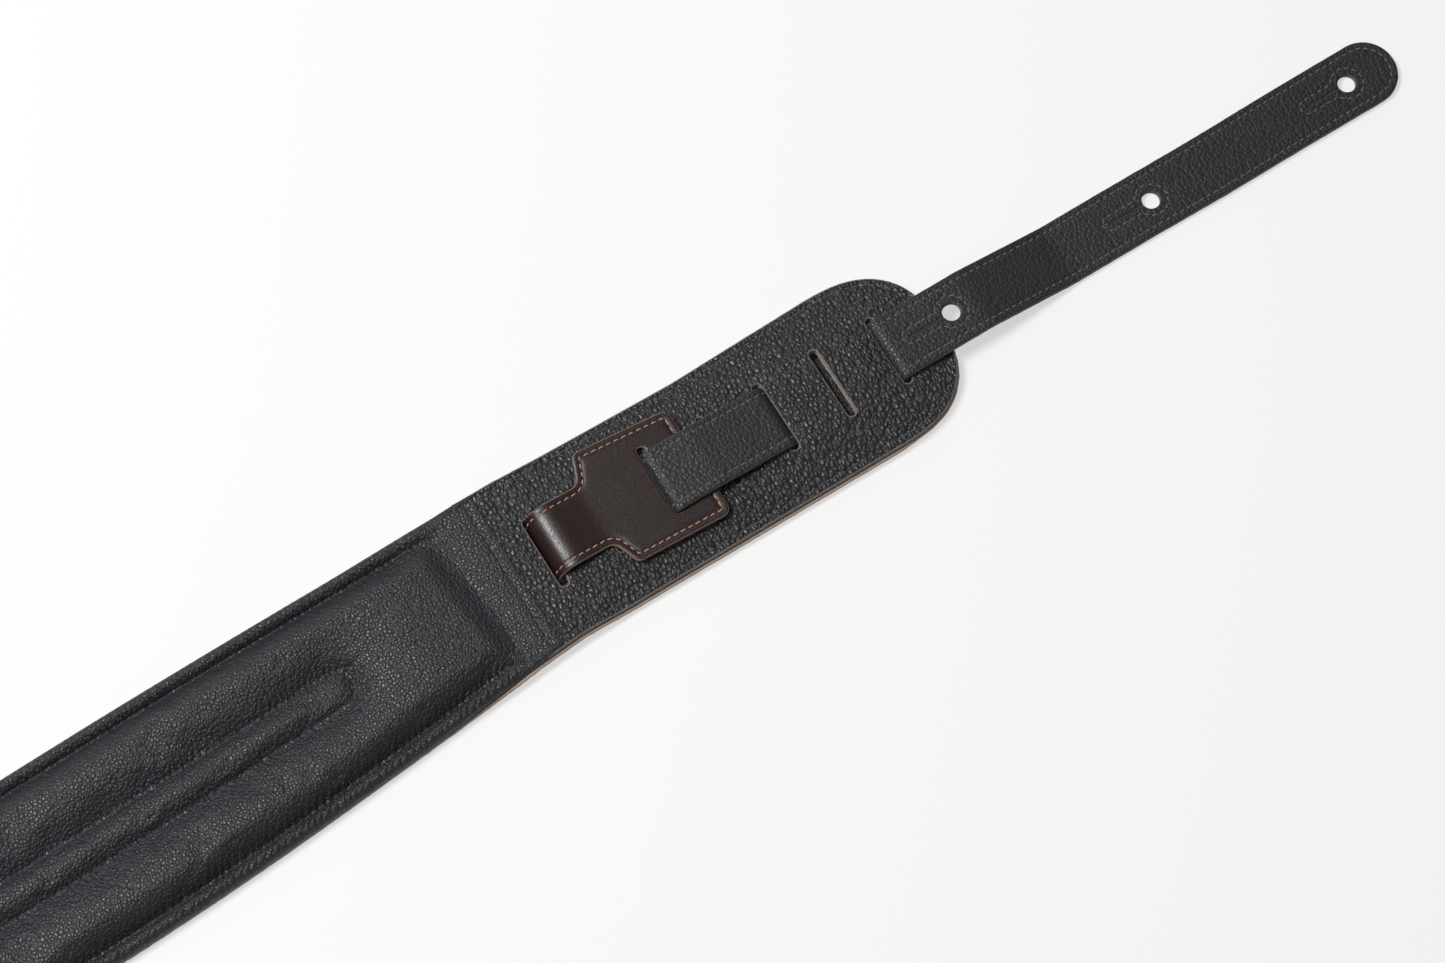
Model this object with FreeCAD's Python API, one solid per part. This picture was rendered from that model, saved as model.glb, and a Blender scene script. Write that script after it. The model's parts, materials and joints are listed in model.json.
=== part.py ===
import FreeCAD, Part

import math
import os

# Padded leather instrument strap, laid out flat with its shoulder side up. Units are millimetres.
#
# A base leather runs the whole length. Between two cross seams it carries a foam pad under a soft
# leather cover. The rear end has a ladder of slots, and a two-layer tail is woven through them: its
# T-shaped tab lies on the shoulder side, its neck dives through the first slot, and the tail comes up
# through the third slot and the tab's own slot, down the fifth, and up the last one, with three holes
# for a strap button. The front end narrows to a tongue with one button hole.
#
# +X runs towards the tail's tip, +Z away from the surface that the strap lies on. The origin is the
# centre of the bounding box's underside.

# Leathers and foam
base_thickness = 1.8
lining_thickness = 1.8
cover_thickness = 1.0
tail_face_thickness = 1.3
tail_lining_thickness = 1.2
clearance = 0.1

# Pad
pad_length = 700.0
pad_width = 76.2
pad_taper = 175.0
pad_bow = 11.4
hem_width = 5.0
channel_width = 12.6
channel_end_margin = 70.0
foam_margin = 16.5
foam_shoulder = 14.0
ridge_height = 8.2
centre_ridge_height = 6.4
channel_height = 3.0
hem_groove_height = 2.5
hem_bead_height = 3.6
valley_height = 1.4
lining_tuck = 8.5
rise_length = 60.0

# Rear end and its ladder of slots
end_width = 63.6
end_nose_radius = 35.6
end_nose_reach = 21.0
end_corner_radius = 9.0
seam_to_first_slot = 12.0
slot_count = 7
slot_pitch = 23.4
slot_width = 3.4
slot_length = 28.0

# Tail and its tab
tail_width = 24.5
tail_reach = 217.0
hole_count = 3
hole_pitch = 85.5
hole_to_tip = 20.0
hole_radius = 3.4
slit_length = 14.0
slit_width = 0.6
tail_flat_reach = 38.0
tail_drop_length = 34.0
tail_drop_radius = 30.0
bend_radius = 2.0
fold_radius = 3.2
fold_rise = 2.05
tab_width = 45.5
tab_neck_length = 21.5
tab_shoulder_length = 4.0
tab_end_reach = 62.2
tab_corner_radius = 4.0
tab_slot_index = 2
dive_slot_index = 4

# Front tongue
front_length = 140.0
tongue_width = 30.0
tongue_taper = 72.0

# Part of the pad that bends over the shoulder
bend_length = 120.0

# Thread and joints
thread_width = 0.6
thread_height = 0.3
thread_gap = 0.05
groove_lift = 0.4
stitch_inset = 2.8
seam_inset = 3.0
keyhole_margin = 2.9
keyhole_slot_half = 3.0
joint_gap = 0.3
end_joint_offset = 2.2
tail_joint_offset = 4.2

# Places worked out from the sizes above
tail_thickness = tail_face_thickness + tail_lining_thickness
pad_half = pad_width / 2
end_half = end_width / 2
tail_half = tail_width / 2
ladder_length = (slot_count - 1) * slot_pitch
total_length = front_length + pad_length + seam_to_first_slot + ladder_length + tail_reach
x_tip = total_length / 2
x_last_slot = x_tip - tail_reach
x_first_slot = x_last_slot - ladder_length
x_rear_seam = x_first_slot - seam_to_first_slot
x_front_seam = x_rear_seam - pad_length
x_pad_middle = (x_rear_seam + x_front_seam) / 2
x_front_tip = x_front_seam - front_length
x_rise_end = x_rear_seam - seam_inset
x_rise_start = x_rise_end - rise_length
y_axis = (pad_half + pad_bow - end_half) / 2

z_end_bottom = tail_thickness + clearance
z_end_middle = z_end_bottom + base_thickness
z_end_top = z_end_middle + lining_thickness
z_tab_bottom = z_end_top + clearance
z_tab_top = z_tab_bottom + tail_thickness
z_over_tab = z_tab_top + clearance

slots = [x_first_slot + slot_pitch * i for i in range(slot_count)]
holes = [x_tip - hole_to_tip - hole_pitch * i for i in range(hole_count)]
x_front_hole = x_front_tip + hole_to_tip


# ---------------------------------------------------------------- helpers

def vec(x, y, z):
    return FreeCAD.Vector(x, y, z)


def save(name, shape):
    """Writes one node as a STEP file of its solids."""
    solids = shape.Solids
    made = solids[0] if len(solids) == 1 else Part.makeCompound(solids)
    made.exportStep("parts/" + name + ".step")
    print(f"{name}: {len(solids)} solid(s), {made.Volume:.1f} mm3, valid {made.isValid()}")


def box(x0, x1, y0, y1, z0, z1):
    return Part.makeBox(x1 - x0, y1 - y0, z1 - z0, vec(x0, y0, z0))


def prism(edges, z0, z1):
    """A solid from a closed loop of edges drawn at height z0."""
    return Part.Face(Part.Wire(edges)).extrude(vec(0, 0, z1 - z0))


def polygon_edges(points):
    return [Part.LineSegment(a, b).toShape() for a, b in zip(points, points[1:] + points[:1])]


def spline_edge(points):
    curve = Part.BSplineCurve()
    curve.interpolate(points)
    return curve.toShape()


def obround(x, y, length, width, z0, z1):
    """A slot across the strap with round ends."""
    half = length / 2 - width / 2
    body = box(x - width / 2, x + width / 2, y - half, y + half, z0, z1)
    ends = [Part.makeCylinder(width / 2, z1 - z0, vec(x, y + side * half, z0)) for side in (-1, 1)]
    return body.fuse(ends).removeSplitter()


def fillet_uprights(solid, radius, is_wanted):
    """Rounds the upright edges whose plan position passes the test."""
    picked = []
    for edge in solid.Edges:
        ends = [v.Point for v in edge.Vertexes]
        if len(ends) == 2 and (ends[0] - ends[1]).cross(vec(0, 0, 1)).Length < 1e-6:
            if is_wanted(ends[0].x, ends[0].y):
                picked.append(edge)
    return solid.makeFillet(radius, picked)


def smooth(t):
    """A gentle step from 0 to 1."""
    t = min(max(t, 0.0), 1.0)
    return t * t * (3 - 2 * t)


# ---------------------------------------------------------------- pad shape

def seam_distance(x):
    """Distance along the pad from the nearer cross seam."""
    return min(x_rear_seam - x, x - x_front_seam)


def bow(x):
    """Sideways place of the pad's centre line: a shallow parabola between the seams."""
    s = min(max((x_rear_seam - x) / pad_length, 0.0), 1.0)
    return y_axis - 4 * pad_bow * s * (1 - s)


def half_width(x):
    """Half the pad's width, which grows from the end's width over the taper as a quarter sine."""
    share = min(max(seam_distance(x) / pad_taper, 0.0), 1.0)
    return end_half + (pad_half - end_half) * math.sin(math.pi / 2 * share)


def rise(x):
    """Height of the base leather's underside: it lifts at the rear, where the tail lies beneath."""
    return z_end_bottom * min(max((x - x_rise_start) / rise_length, 0.0), 1.0)


def base_top(x):
    return rise(x) + base_thickness


def stations(x0, x1):
    """Places of the pad's cross sections from x0 to x1, wherever its shape changes."""
    margins = [0.0, lining_tuck, lining_tuck + 1.0, foam_margin, foam_margin + foam_shoulder / 2,
               foam_margin + foam_shoulder, channel_end_margin - 6.0, channel_end_margin,
               channel_end_margin + 8.0, 110.0, 140.0, pad_taper, 230.0]
    places = [x_rear_seam - m for m in margins] + [x_front_seam + m for m in margins]
    places += [x_rise_start, x_rise_end]
    return [x0] + sorted(x for x in places if x0 + 0.01 < x < x1 - 0.01) + [x1]


def cover_heights(x):
    """Heights of the cover above the base leather: bead, hem groove, ridge, channel and centre ridge."""
    d = seam_distance(x)
    if d <= lining_tuck + 0.5:
        flat = lining_thickness + cover_thickness
        return [flat] * 5
    full = smooth((d - foam_margin) / foam_shoulder)
    channelled = smooth((d - channel_end_margin + 6.0) / 14.0)
    mound = ridge_height - 0.6
    tall = [hem_bead_height, hem_groove_height, mound + channelled * 0.6,
            mound + channelled * (channel_height - mound),
            mound + channelled * (centre_ridge_height - mound)]
    return [valley_height + full * (h - valley_height) for h in tall]


def section_points(x, inset):
    """Points over the pad's top at x. The inset is 0 for the cover's outside and its thickness inside."""
    half = half_width(x) - inset
    bead, groove, ridge, channel, centre = [max(h - inset, 0.4) for h in cover_heights(x)]
    hem = half_width(x) - hem_width
    inner = channel_width / 2
    slope = hem - inner
    side = [(half, 0.0), (half, 0.6 * bead),
            (half - 0.3 * (half - hem), bead), (half - 0.7 * (half - hem), bead),
            (hem, groove), (hem - 0.12 * slope, 0.4 * groove + 0.6 * ridge),
            (hem - 0.3 * slope, 0.08 * groove + 0.92 * ridge), (hem - 0.5 * slope, ridge),
            (hem - 0.7 * slope, 0.08 * channel + 0.92 * ridge),
            (hem - 0.88 * slope, 0.4 * channel + 0.6 * ridge),
            (inner, channel), (0.6 * inner, 0.2 * channel + 0.8 * centre)]
    middle, floor = bow(x), base_top(x)
    right = [vec(x, middle + y, floor + z) for y, z in side]
    left = [vec(x, middle - y, floor + z) for y, z in reversed(side)]
    return right + [vec(x, middle, floor + centre)] + left


def loft(sections):
    return Part.makeLoft([Part.Wire(polygon_edges(points)) for points in sections], True, True)


def pad_solid(x0, x1, inset):
    """The pad's full shape between two places, drawn in by the inset."""
    return loft([section_points(x, inset) for x in stations(x0, x1)])


def flat_layer(x0, x1, low, high):
    """A leather as wide as the pad, lying between two heights above the base leather's underside."""
    places = stations(x0, x1)
    left = [vec(x, bow(x) + half_width(x), -1.0) for x in places]
    right = [vec(x, bow(x) - half_width(x), -1.0) for x in reversed(places)]
    under = [vec(x, -pad_width, rise(x) + low) for x in (x0, x_rise_start, x_rise_end, x1) if x0 <= x <= x1]
    over = [p + vec(0, 0, high - low) for p in reversed(under)]
    profile = Part.Face(Part.Wire(polygon_edges(under + over))).extrude(vec(0, 2 * pad_width, 0))
    return profile.common(prism(polygon_edges(left + right), -1.0, 20.0))


def thread_line(x0, x1, offset, height_index):
    """One line of stitching lengthwise on the cover, lying in its groove."""
    sections = []
    for x in stations(x0, x1):
        y = bow(x) + offset(x)
        z = base_top(x) + cover_heights(x)[height_index] + groove_lift
        low, high = y - thread_width / 2, y + thread_width / 2
        sections.append([vec(x, low, z), vec(x, high, z), vec(x, high, z + thread_height),
                         vec(x, low, z + thread_height)])
    return loft(sections)


def hem_lines(x0, x1):
    lines = [thread_line(x0, x1, lambda x, s=side: s * (half_width(x) - hem_width), 1) for side in (-1, 1)]
    return Part.makeCompound(lines)


def channel_lines(x0, x1):
    lines = [thread_line(x0, x1, lambda x, s=side: s * channel_width / 2, 3) for side in (-1, 1)]
    return Part.makeCompound(lines)


def span(a, b):
    return min(a, b), max(a, b)


def make_pad_half(name, seam, sign):
    """One half of the pad, from its seam to the middle. The sign is +1 at the rear and -1 at the front."""
    x_outer = seam + sign * (end_joint_offset - joint_gap / 2)
    x_tuck = seam - sign * lining_tuck
    x_foam = seam - sign * foam_margin
    x_bend = x_pad_middle + sign * bend_length / 2
    x_inner = x_pad_middle + sign * joint_gap / 2

    tuck = flat_layer(*span(x_outer, x_tuck), base_thickness, base_thickness + lining_thickness)
    foam = pad_solid(*span(x_foam, x_bend), cover_thickness)
    save(name + "_pad_base_leather", flat_layer(*span(x_outer, x_inner), 0.0, base_thickness))
    save(name + "_pad_foam", foam)
    save(name + "_pad_cover", pad_solid(*span(seam, x_bend), 0.0).cut(foam).cut(tuck))
    save(name + "_pad_lining_tuck", tuck)
    save(name + "_pad_edge_stitching", hem_lines(*span(x_foam, x_bend)))
    x_channel = seam - sign * (channel_end_margin + 8.0)
    save(name + "_pad_channel_stitching", channel_lines(*span(x_channel, x_bend)))

    x = seam - sign * seam_inset
    z = base_top(x) + lining_thickness + cover_thickness + thread_gap
    reach = end_half - seam_inset
    save(name + "_pad_seam_stitching", box(x - thread_width / 2, x + thread_width / 2, bow(x) - reach,
                                           bow(x) + reach, z, z + thread_height))

    bend_foam = pad_solid(*span(x_bend, x_inner), cover_thickness)
    save(name + "_bend_foam", bend_foam)
    save(name + "_bend_cover", pad_solid(*span(x_bend, x_inner), 0.0).cut(bend_foam))
    save(name + "_bend_stitching", Part.makeCompound(
        hem_lines(*span(x_bend, x_inner)).Solids + channel_lines(*span(x_bend, x_inner)).Solids))


# ---------------------------------------------------------------- rear end

def rear_end_plan(inset, z0, z1):
    """The rear end's plan: a strip with a round nose, drawn in by the inset."""
    x0 = x_rear_seam + end_joint_offset + joint_gap / 2
    half, radius = end_half - inset, end_nose_radius - inset
    nose = x_last_slot + end_nose_reach - inset
    x_corner = nose - radius + math.sqrt(radius ** 2 - half ** 2)
    a = vec(x0, y_axis - half, z0)
    b = vec(x_corner, y_axis - half, z0)
    c = vec(x_corner, y_axis + half, z0)
    d = vec(x0, y_axis + half, z0)
    outline = [Part.LineSegment(a, b).toShape(), Part.Arc(b, vec(nose, y_axis, z0), c).toShape(),
               Part.LineSegment(c, d).toShape(), Part.LineSegment(d, a).toShape()]
    return fillet_uprights(prism(outline, z0, z1), end_corner_radius - 0.8 * inset,
                           lambda x, y: abs(x - x_corner) < 0.01)


def rear_end_layer(z0, z1):
    """One leather of the rear end, cut by the ladder of slots."""
    cuts = [obround(x, y_axis, slot_length, slot_width, z0 - 1, z1 + 1) for x in slots]
    return rear_end_plan(0.0, z0, z1).cut(cuts)


def make_rear_end():
    save("ladder_base_leather", rear_end_layer(z_end_bottom, z_end_middle))
    save("ladder_lining", rear_end_layer(z_end_middle, z_end_top))

    z0 = z_end_top + thread_gap
    z1 = z0 + thread_height
    band = rear_end_plan(stitch_inset, z0, z1).cut(rear_end_plan(stitch_inset + thread_width, z0, z1))
    under_tail = box(x_last_slot, x_last_slot + end_nose_reach,
                     y_axis - tail_half - 1.0, y_axis + tail_half + 1.0, z0 - 1, z1 + 1)
    save("ladder_edge_stitching", band.cut(under_tail))


# ---------------------------------------------------------------- tail

def side_path(points, radii, offset):
    """Edges of a path in the XZ plane, offset to the left of its travel, with its corners rounded."""
    runs = [(points[i + 1] - points[i]).normalize() for i in range(len(points) - 1)]
    lefts = [vec(-r.z, 0, r.x) for r in runs]
    corners = [points[0] + lefts[0] * offset]
    for i in range(1, len(points) - 1):
        mitre = (lefts[i - 1] + lefts[i]) * (1.0 / (1.0 + lefts[i - 1].dot(lefts[i])))
        corners.append(points[i] + mitre * offset)
    corners.append(points[-1] + lefts[-1] * offset)
    edges, last = [], corners[0]
    for i in range(1, len(points) - 1):
        into, out = runs[i - 1], runs[i]
        turn = math.acos(max(-1.0, min(1.0, into.dot(out))))
        left_turn = 1 if into.x * out.z - into.z * out.x > 0 else -1
        radius = radii[i - 1] - offset * left_turn
        reach = radius * math.tan(turn / 2)
        start, end = corners[i] - into * reach, corners[i] + out * reach
        inward = (out - into).normalize()
        middle = corners[i] + inward * (radius / math.cos(turn / 2) - radius)
        edges.append(Part.LineSegment(last, start).toShape())
        edges.append(Part.Arc(start, middle, end).toShape())
        last = end
    edges.append(Part.LineSegment(last, corners[-1]).toShape())
    return edges, corners[0], last, corners[-1]


def ribbon(points, radii, low, high, y0, y1):
    """A strip of even thickness that follows a side path, between two offsets from it."""
    near, near_start, _, near_end = side_path(points, radii, low)
    far, far_start, _, far_end = side_path(points, radii, high)
    loop = near + [Part.LineSegment(near_end, far_end).toShape()] + far
    loop += [Part.LineSegment(far_start, near_start).toShape()]
    face = Part.Face(Part.Wire(Part.__sortEdges__(loop)))
    face.translate(vec(0, y0, 0))
    return face.extrude(vec(0, y1 - y0, 0))


z_under = tail_face_thickness
z_tab = z_tab_bottom + tail_lining_thickness
z_top = z_tab_bottom + tail_face_thickness
z_bridge = z_over_tab + tail_face_thickness

x_tab_end = x_first_slot + tab_end_reach
x_tab_shoulder = x_first_slot + tab_neck_length

neck_path = [vec(x_tab_shoulder + 2.0, 0, z_tab), vec(x_first_slot + 17.0, 0, z_tab),
             vec(x_first_slot + 8.0, 0, z_tab + fold_rise), vec(x_first_slot, 0, z_tab + fold_rise)]
neck_radii = [12.0, 12.0]

woven_path = neck_path + [
    vec(x_first_slot, 0, z_under), vec(slots[tab_slot_index], 0, z_under),
    vec(slots[tab_slot_index], 0, z_bridge), vec(x_tab_end + 1.4, 0, z_bridge),
    vec(x_tab_end + 7.0, 0, z_top), vec(slots[dive_slot_index], 0, z_top),
    vec(slots[dive_slot_index], 0, z_under), vec(x_last_slot, 0, z_under),
    vec(x_last_slot, 0, z_top), vec(x_last_slot + tail_joint_offset - joint_gap / 2, 0, z_top)]
woven_radii = neck_radii + [fold_radius, bend_radius, bend_radius, bend_radius, 3.0, 3.0,
                            bend_radius, bend_radius, bend_radius, bend_radius]

tail_path = [vec(x_last_slot + tail_joint_offset + joint_gap / 2, 0, z_top),
             vec(x_last_slot + tail_flat_reach, 0, z_top),
             vec(x_last_slot + tail_flat_reach + tail_drop_length, 0, z_under), vec(x_tip, 0, z_under)]
tail_radii = [tail_drop_radius, tail_drop_radius]


def tab_plan(inset, z0, z1):
    """The tab's plan: the neck's width, shoulders and a wide body, all drawn in by the inset."""
    neck, wide = tail_half - inset, tab_width / 2 - inset
    x_neck, x_wide = x_tab_shoulder + inset, x_tab_shoulder + tab_shoulder_length + inset
    x_end = x_tab_end - inset
    upper = [(x_tab_shoulder - 3.0 - inset, neck), (x_neck, neck), (x_wide, wide), (x_end, wide)]
    outline = [vec(x, y_axis + y, z0) for x, y in upper]
    outline += [vec(x, y_axis - y, z0) for x, y in reversed(upper)]
    plate = prism(polygon_edges(outline), z0, z1)
    plate = fillet_uprights(plate, tab_corner_radius - 0.5 * inset,
                            lambda x, y: abs(x - x_neck) > 2.5 and x > x_neck)
    return fillet_uprights(plate, tab_corner_radius + 0.5 * inset, lambda x, y: abs(x - x_neck) < 0.01)


def make_tab():
    y0, y1 = y_axis - tail_half, y_axis + tail_half
    tab_slot = obround(slots[tab_slot_index], y_axis, slot_length, slot_width,
                       z_tab_bottom - 0.05, z_tab_top + 0.05)
    face_plate = tab_plan(0.0, z_tab, z_tab_top).cut(tab_slot)
    lining_plate = tab_plan(0.0, z_tab_bottom, z_tab).cut(tab_slot)
    face = ribbon(woven_path, woven_radii, -tail_face_thickness, 0.0, y0, y1).fuse(face_plate)
    lining = ribbon(woven_path, woven_radii, 0.0, tail_lining_thickness, y0, y1).fuse(lining_plate)
    save("tab_face", face.removeSplitter())
    save("tab_lining", lining.removeSplitter())

    z0 = z_tab_top + thread_gap
    band = tab_plan(stitch_inset, z0, z0 + thread_height)
    band = band.cut(tab_plan(stitch_inset + thread_width, z0 - 1, z0 + 1))
    band = band.cut(box(x_tab_shoulder - 10.0, x_tab_shoulder, -pad_width, pad_width, z0 - 1, z0 + 1))
    band = band.cut(box(slots[tab_slot_index] - slot_width, x_tab_end + 5.0, y0 - 0.5, y1 + 0.5,
                        z0 - 1, z0 + 1))
    outside = -tail_face_thickness - thread_gap
    neck_line = [vec(x_tab_shoulder, 0, z_tab)] + neck_path[1:3]
    neck_line += [vec(x_first_slot + 3.0, 0, z_tab + fold_rise)]
    neck = [ribbon(neck_line, neck_radii, outside - thread_height, outside,
                   y - thread_width / 2, y + thread_width / 2)
            for y in (y0 + stitch_inset + thread_width / 2, y1 - stitch_inset - thread_width / 2)]
    save("tab_stitching", band.fuse(neck))


def keyhole_cut(x, z0, z1):
    """A button hole with its slit, which runs away from the tip."""
    hole = Part.makeCylinder(hole_radius, z1 - z0, vec(x, y_axis, z0))
    tip_side = 1 if x > 0 else -1
    far = x - tip_side * (hole_radius + slit_length)
    return hole.fuse(box(min(x, far), max(x, far), y_axis - slit_width / 2, y_axis + slit_width / 2, z0, z1))


def keyhole_plan(x, grow, z0, z1):
    """The line of stitching round a button hole and its slit, as a filled shape."""
    tip_side = 1 if x > 0 else -1
    far = x - tip_side * (hole_radius + slit_length + 0.5)
    half = keyhole_slot_half + grow
    ring = Part.makeCylinder(hole_radius + keyhole_margin + grow, z1 - z0, vec(x, y_axis, z0))
    lane = box(min(x, far), max(x, far), y_axis - half, y_axis + half, z0, z1)
    end = Part.makeCylinder(half, z1 - z0, vec(far, y_axis, z0))
    return ring.fuse([lane, end]).removeSplitter()


def keyhole_stitching(x, z):
    band = keyhole_plan(x, 0.0, z, z + thread_height)
    return band.cut(keyhole_plan(x, -thread_width, z - 1, z + thread_height + 1))


def tail_plan(inset):
    """The tail's plan: a strip with a half-round tip."""
    half = tail_half - inset
    x0 = x_last_slot - 20.0
    strip = box(x0, x_tip - tail_half, y_axis - half, y_axis + half, -1.0, 20.0)
    return strip.fuse(Part.makeCylinder(half, 21.0, vec(x_tip - tail_half, y_axis, -1.0)))


def make_tail():
    y0, y1 = y_axis - tail_half - 1.0, y_axis + tail_half + 1.0
    cuts = [keyhole_cut(x, -1.0, 20.0) for x in holes]
    face = ribbon(tail_path, tail_radii, -tail_face_thickness, 0.0, y0, y1).common(tail_plan(0.0)).cut(cuts)
    lining = ribbon(tail_path, tail_radii, 0.0, tail_lining_thickness, y0, y1)
    lining = lining.common(tail_plan(0.0)).cut(cuts)
    save("tail_face", face)
    save("tail_lining", lining)

    low = tail_lining_thickness + thread_gap
    sheet = ribbon(tail_path, tail_radii, low, low + thread_height, y0, y1)
    edge = sheet.common(tail_plan(stitch_inset)).cut(tail_plan(stitch_inset + thread_width))
    save("tail_edge_stitching", edge)
    rings = [keyhole_stitching(x, z_under + low) for x in holes[:-1]]
    rings += [keyhole_stitching(holes[-1], z_top + low)]
    save("tail_keyhole_stitching", Part.makeCompound(rings))


# ---------------------------------------------------------------- front tongue

def tongue_plan(inset, z0, z1):
    """The front end's plan: it narrows in an S curve to a tongue with a round tip, drawn in by the inset."""
    x0 = x_front_seam - end_joint_offset - joint_gap / 2
    half, wide = tongue_width / 2 - inset, end_half - inset
    steps = [(x0, wide), (x0 - 0.08 * tongue_taper, wide - 0.3)]
    steps += [(x0 - tongue_taper * t, wide + (half - wide) * smooth(t)) for t in (0.3, 0.5, 0.7, 0.9)]
    steps += [(x0 - tongue_taper, half)]
    upper = [vec(x, y_axis + y, z0) for x, y in steps]
    lower = [vec(x, y_axis - y, z0) for x, y in steps]
    x_round = x_front_tip + tongue_width / 2
    top, bottom = vec(x_round, y_axis + half, z0), vec(x_round, y_axis - half, z0)
    outline = [spline_edge(upper), Part.LineSegment(upper[-1], top).toShape(),
               Part.Arc(top, vec(x_front_tip + inset, y_axis, z0), bottom).toShape(),
               Part.LineSegment(bottom, lower[-1]).toShape(), spline_edge(lower),
               Part.LineSegment(lower[0], upper[0]).toShape()]
    return prism(Part.__sortEdges__(outline), z0, z1)


def make_front_end():
    middle, top = base_thickness, base_thickness + lining_thickness
    hole = keyhole_cut(x_front_hole, -1.0, top + 1.0)
    save("tongue_base_leather", tongue_plan(0.0, 0.0, middle).cut(hole))
    save("tongue_lining", tongue_plan(0.0, middle, top).cut(hole))

    z0 = top + thread_gap
    z1 = z0 + thread_height
    save("tongue_edge_stitching", tongue_plan(stitch_inset, z0, z1).cut(
        tongue_plan(stitch_inset + thread_width, z0, z1)))
    save("tongue_keyhole_stitching", keyhole_stitching(x_front_hole, z0))


def main():
    os.makedirs("parts", exist_ok=True)
    make_pad_half("rear", x_rear_seam, 1)
    make_pad_half("front", x_front_seam, -1)
    make_rear_end()
    make_tab()
    make_tail()
    make_front_end()
    print(f"tip {x_tip:.2f}, last slot {x_last_slot:.2f}, first slot {x_first_slot:.2f}, "
          f"rear seam {x_rear_seam:.2f}, middle {x_pad_middle:.2f}, "
          f"front seam {x_front_seam:.2f}, axis y {y_axis:.3f}, "
          f"end top {z_end_top:.2f}, tab top {z_tab_top:.2f}, holes {[round(h, 2) for h in holes]}, "
          f"front hole {x_front_hole:.2f}")


main()
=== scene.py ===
"""Leathers, pad and stitching of a padded instrument strap.

Sizes inside the functions are in millimetres, and the meshes are in metres.
"""

import json
import math

import bpy
import numpy as np
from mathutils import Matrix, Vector
from mathutils.geometry import delaunay_2d_cdt


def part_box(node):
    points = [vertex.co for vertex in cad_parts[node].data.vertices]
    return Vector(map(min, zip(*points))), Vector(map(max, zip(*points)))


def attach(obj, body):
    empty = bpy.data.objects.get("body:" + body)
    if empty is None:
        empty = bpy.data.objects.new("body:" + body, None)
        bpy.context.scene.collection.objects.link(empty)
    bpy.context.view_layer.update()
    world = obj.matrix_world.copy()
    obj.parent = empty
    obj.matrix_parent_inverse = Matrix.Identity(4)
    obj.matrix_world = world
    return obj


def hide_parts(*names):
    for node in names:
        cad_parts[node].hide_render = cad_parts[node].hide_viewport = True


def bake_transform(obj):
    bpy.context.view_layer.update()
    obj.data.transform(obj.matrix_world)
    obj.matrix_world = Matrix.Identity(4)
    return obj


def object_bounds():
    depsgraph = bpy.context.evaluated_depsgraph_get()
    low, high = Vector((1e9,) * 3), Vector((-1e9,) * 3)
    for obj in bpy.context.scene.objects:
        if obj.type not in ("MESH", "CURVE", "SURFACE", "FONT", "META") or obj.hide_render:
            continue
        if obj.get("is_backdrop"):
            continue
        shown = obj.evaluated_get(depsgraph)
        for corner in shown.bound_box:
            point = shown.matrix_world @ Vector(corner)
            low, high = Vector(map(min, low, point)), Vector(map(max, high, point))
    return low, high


bl_info = {
    "name": "Padded leather strap",
    "version": (1, 0, 0),
    "blender": (4, 5, 0),
    "location": "3D View > Sidebar > Strap",
    "description": "Leathers, pad and stitching of a padded instrument strap",
    "category": "Add Mesh",
}

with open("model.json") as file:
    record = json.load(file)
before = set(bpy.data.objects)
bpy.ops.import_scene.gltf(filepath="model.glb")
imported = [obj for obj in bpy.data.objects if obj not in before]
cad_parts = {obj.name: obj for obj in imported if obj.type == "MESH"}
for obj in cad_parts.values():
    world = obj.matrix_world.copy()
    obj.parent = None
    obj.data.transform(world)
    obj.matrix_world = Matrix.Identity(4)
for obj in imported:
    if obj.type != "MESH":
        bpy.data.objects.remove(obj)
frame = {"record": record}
CAD_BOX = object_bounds()
JOINTS = {j["name"]: j for j in frame["record"]["behaviour"]["joints"]}


def node_box(name):
    """Lowest and highest corner of a named part, in millimetres."""
    low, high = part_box(name)
    return np.array(low) * 1000, np.array(high) * 1000


def joint_place(name):
    """Where a hinge lies, in millimetres."""
    return np.array(JOINTS[name]["pos_m"]) * 1000


REAR_SEAM = node_box("rear_pad_cover")[1][0]
FRONT_SEAM = node_box("front_pad_cover")[0][0]
MIDDLE = joint_place("shoulder_bend")[0]
Y_AXIS = joint_place("rear_end_fold")[1]
REAR_FOLD = joint_place("rear_end_fold")[0]
FRONT_FOLD = joint_place("front_end_fold")[0]
TAIL_BEND = joint_place("tail_bend")[0]
NOSE = node_box("ladder_lining")[1][0]
END_HALF = (node_box("ladder_lining")[1][1] - node_box("ladder_lining")[0][1]) / 2
Z_END_BOTTOM = node_box("ladder_base_leather")[0][2]
Z_END_MIDDLE = node_box("ladder_base_leather")[1][2]
Z_END_TOP = node_box("ladder_lining")[1][2]
Z_TONGUE_TOP = node_box("tongue_lining")[1][2]
TIP = node_box("tail_face")[1][0]
FRONT_TIP = node_box("tongue_lining")[0][0]
TAIL_HALF = (node_box("tail_face")[1][1] - node_box("tail_face")[0][1]) / 2
TAB_HALF = (node_box("tab_face")[1][1] - node_box("tab_face")[0][1]) / 2
PAD_LENGTH = REAR_SEAM - FRONT_SEAM


# ---------------------------------------------------------------- sizes and colours

def length(name, description, default):
    return bpy.props.FloatProperty(name=name, description=description, default=default, unit="LENGTH",
                                   precision=5)


def colour(name, description, default):
    return bpy.props.FloatVectorProperty(name=name, description=description, default=default, size=3, min=0,
                                         max=1, subtype="COLOR")


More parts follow.
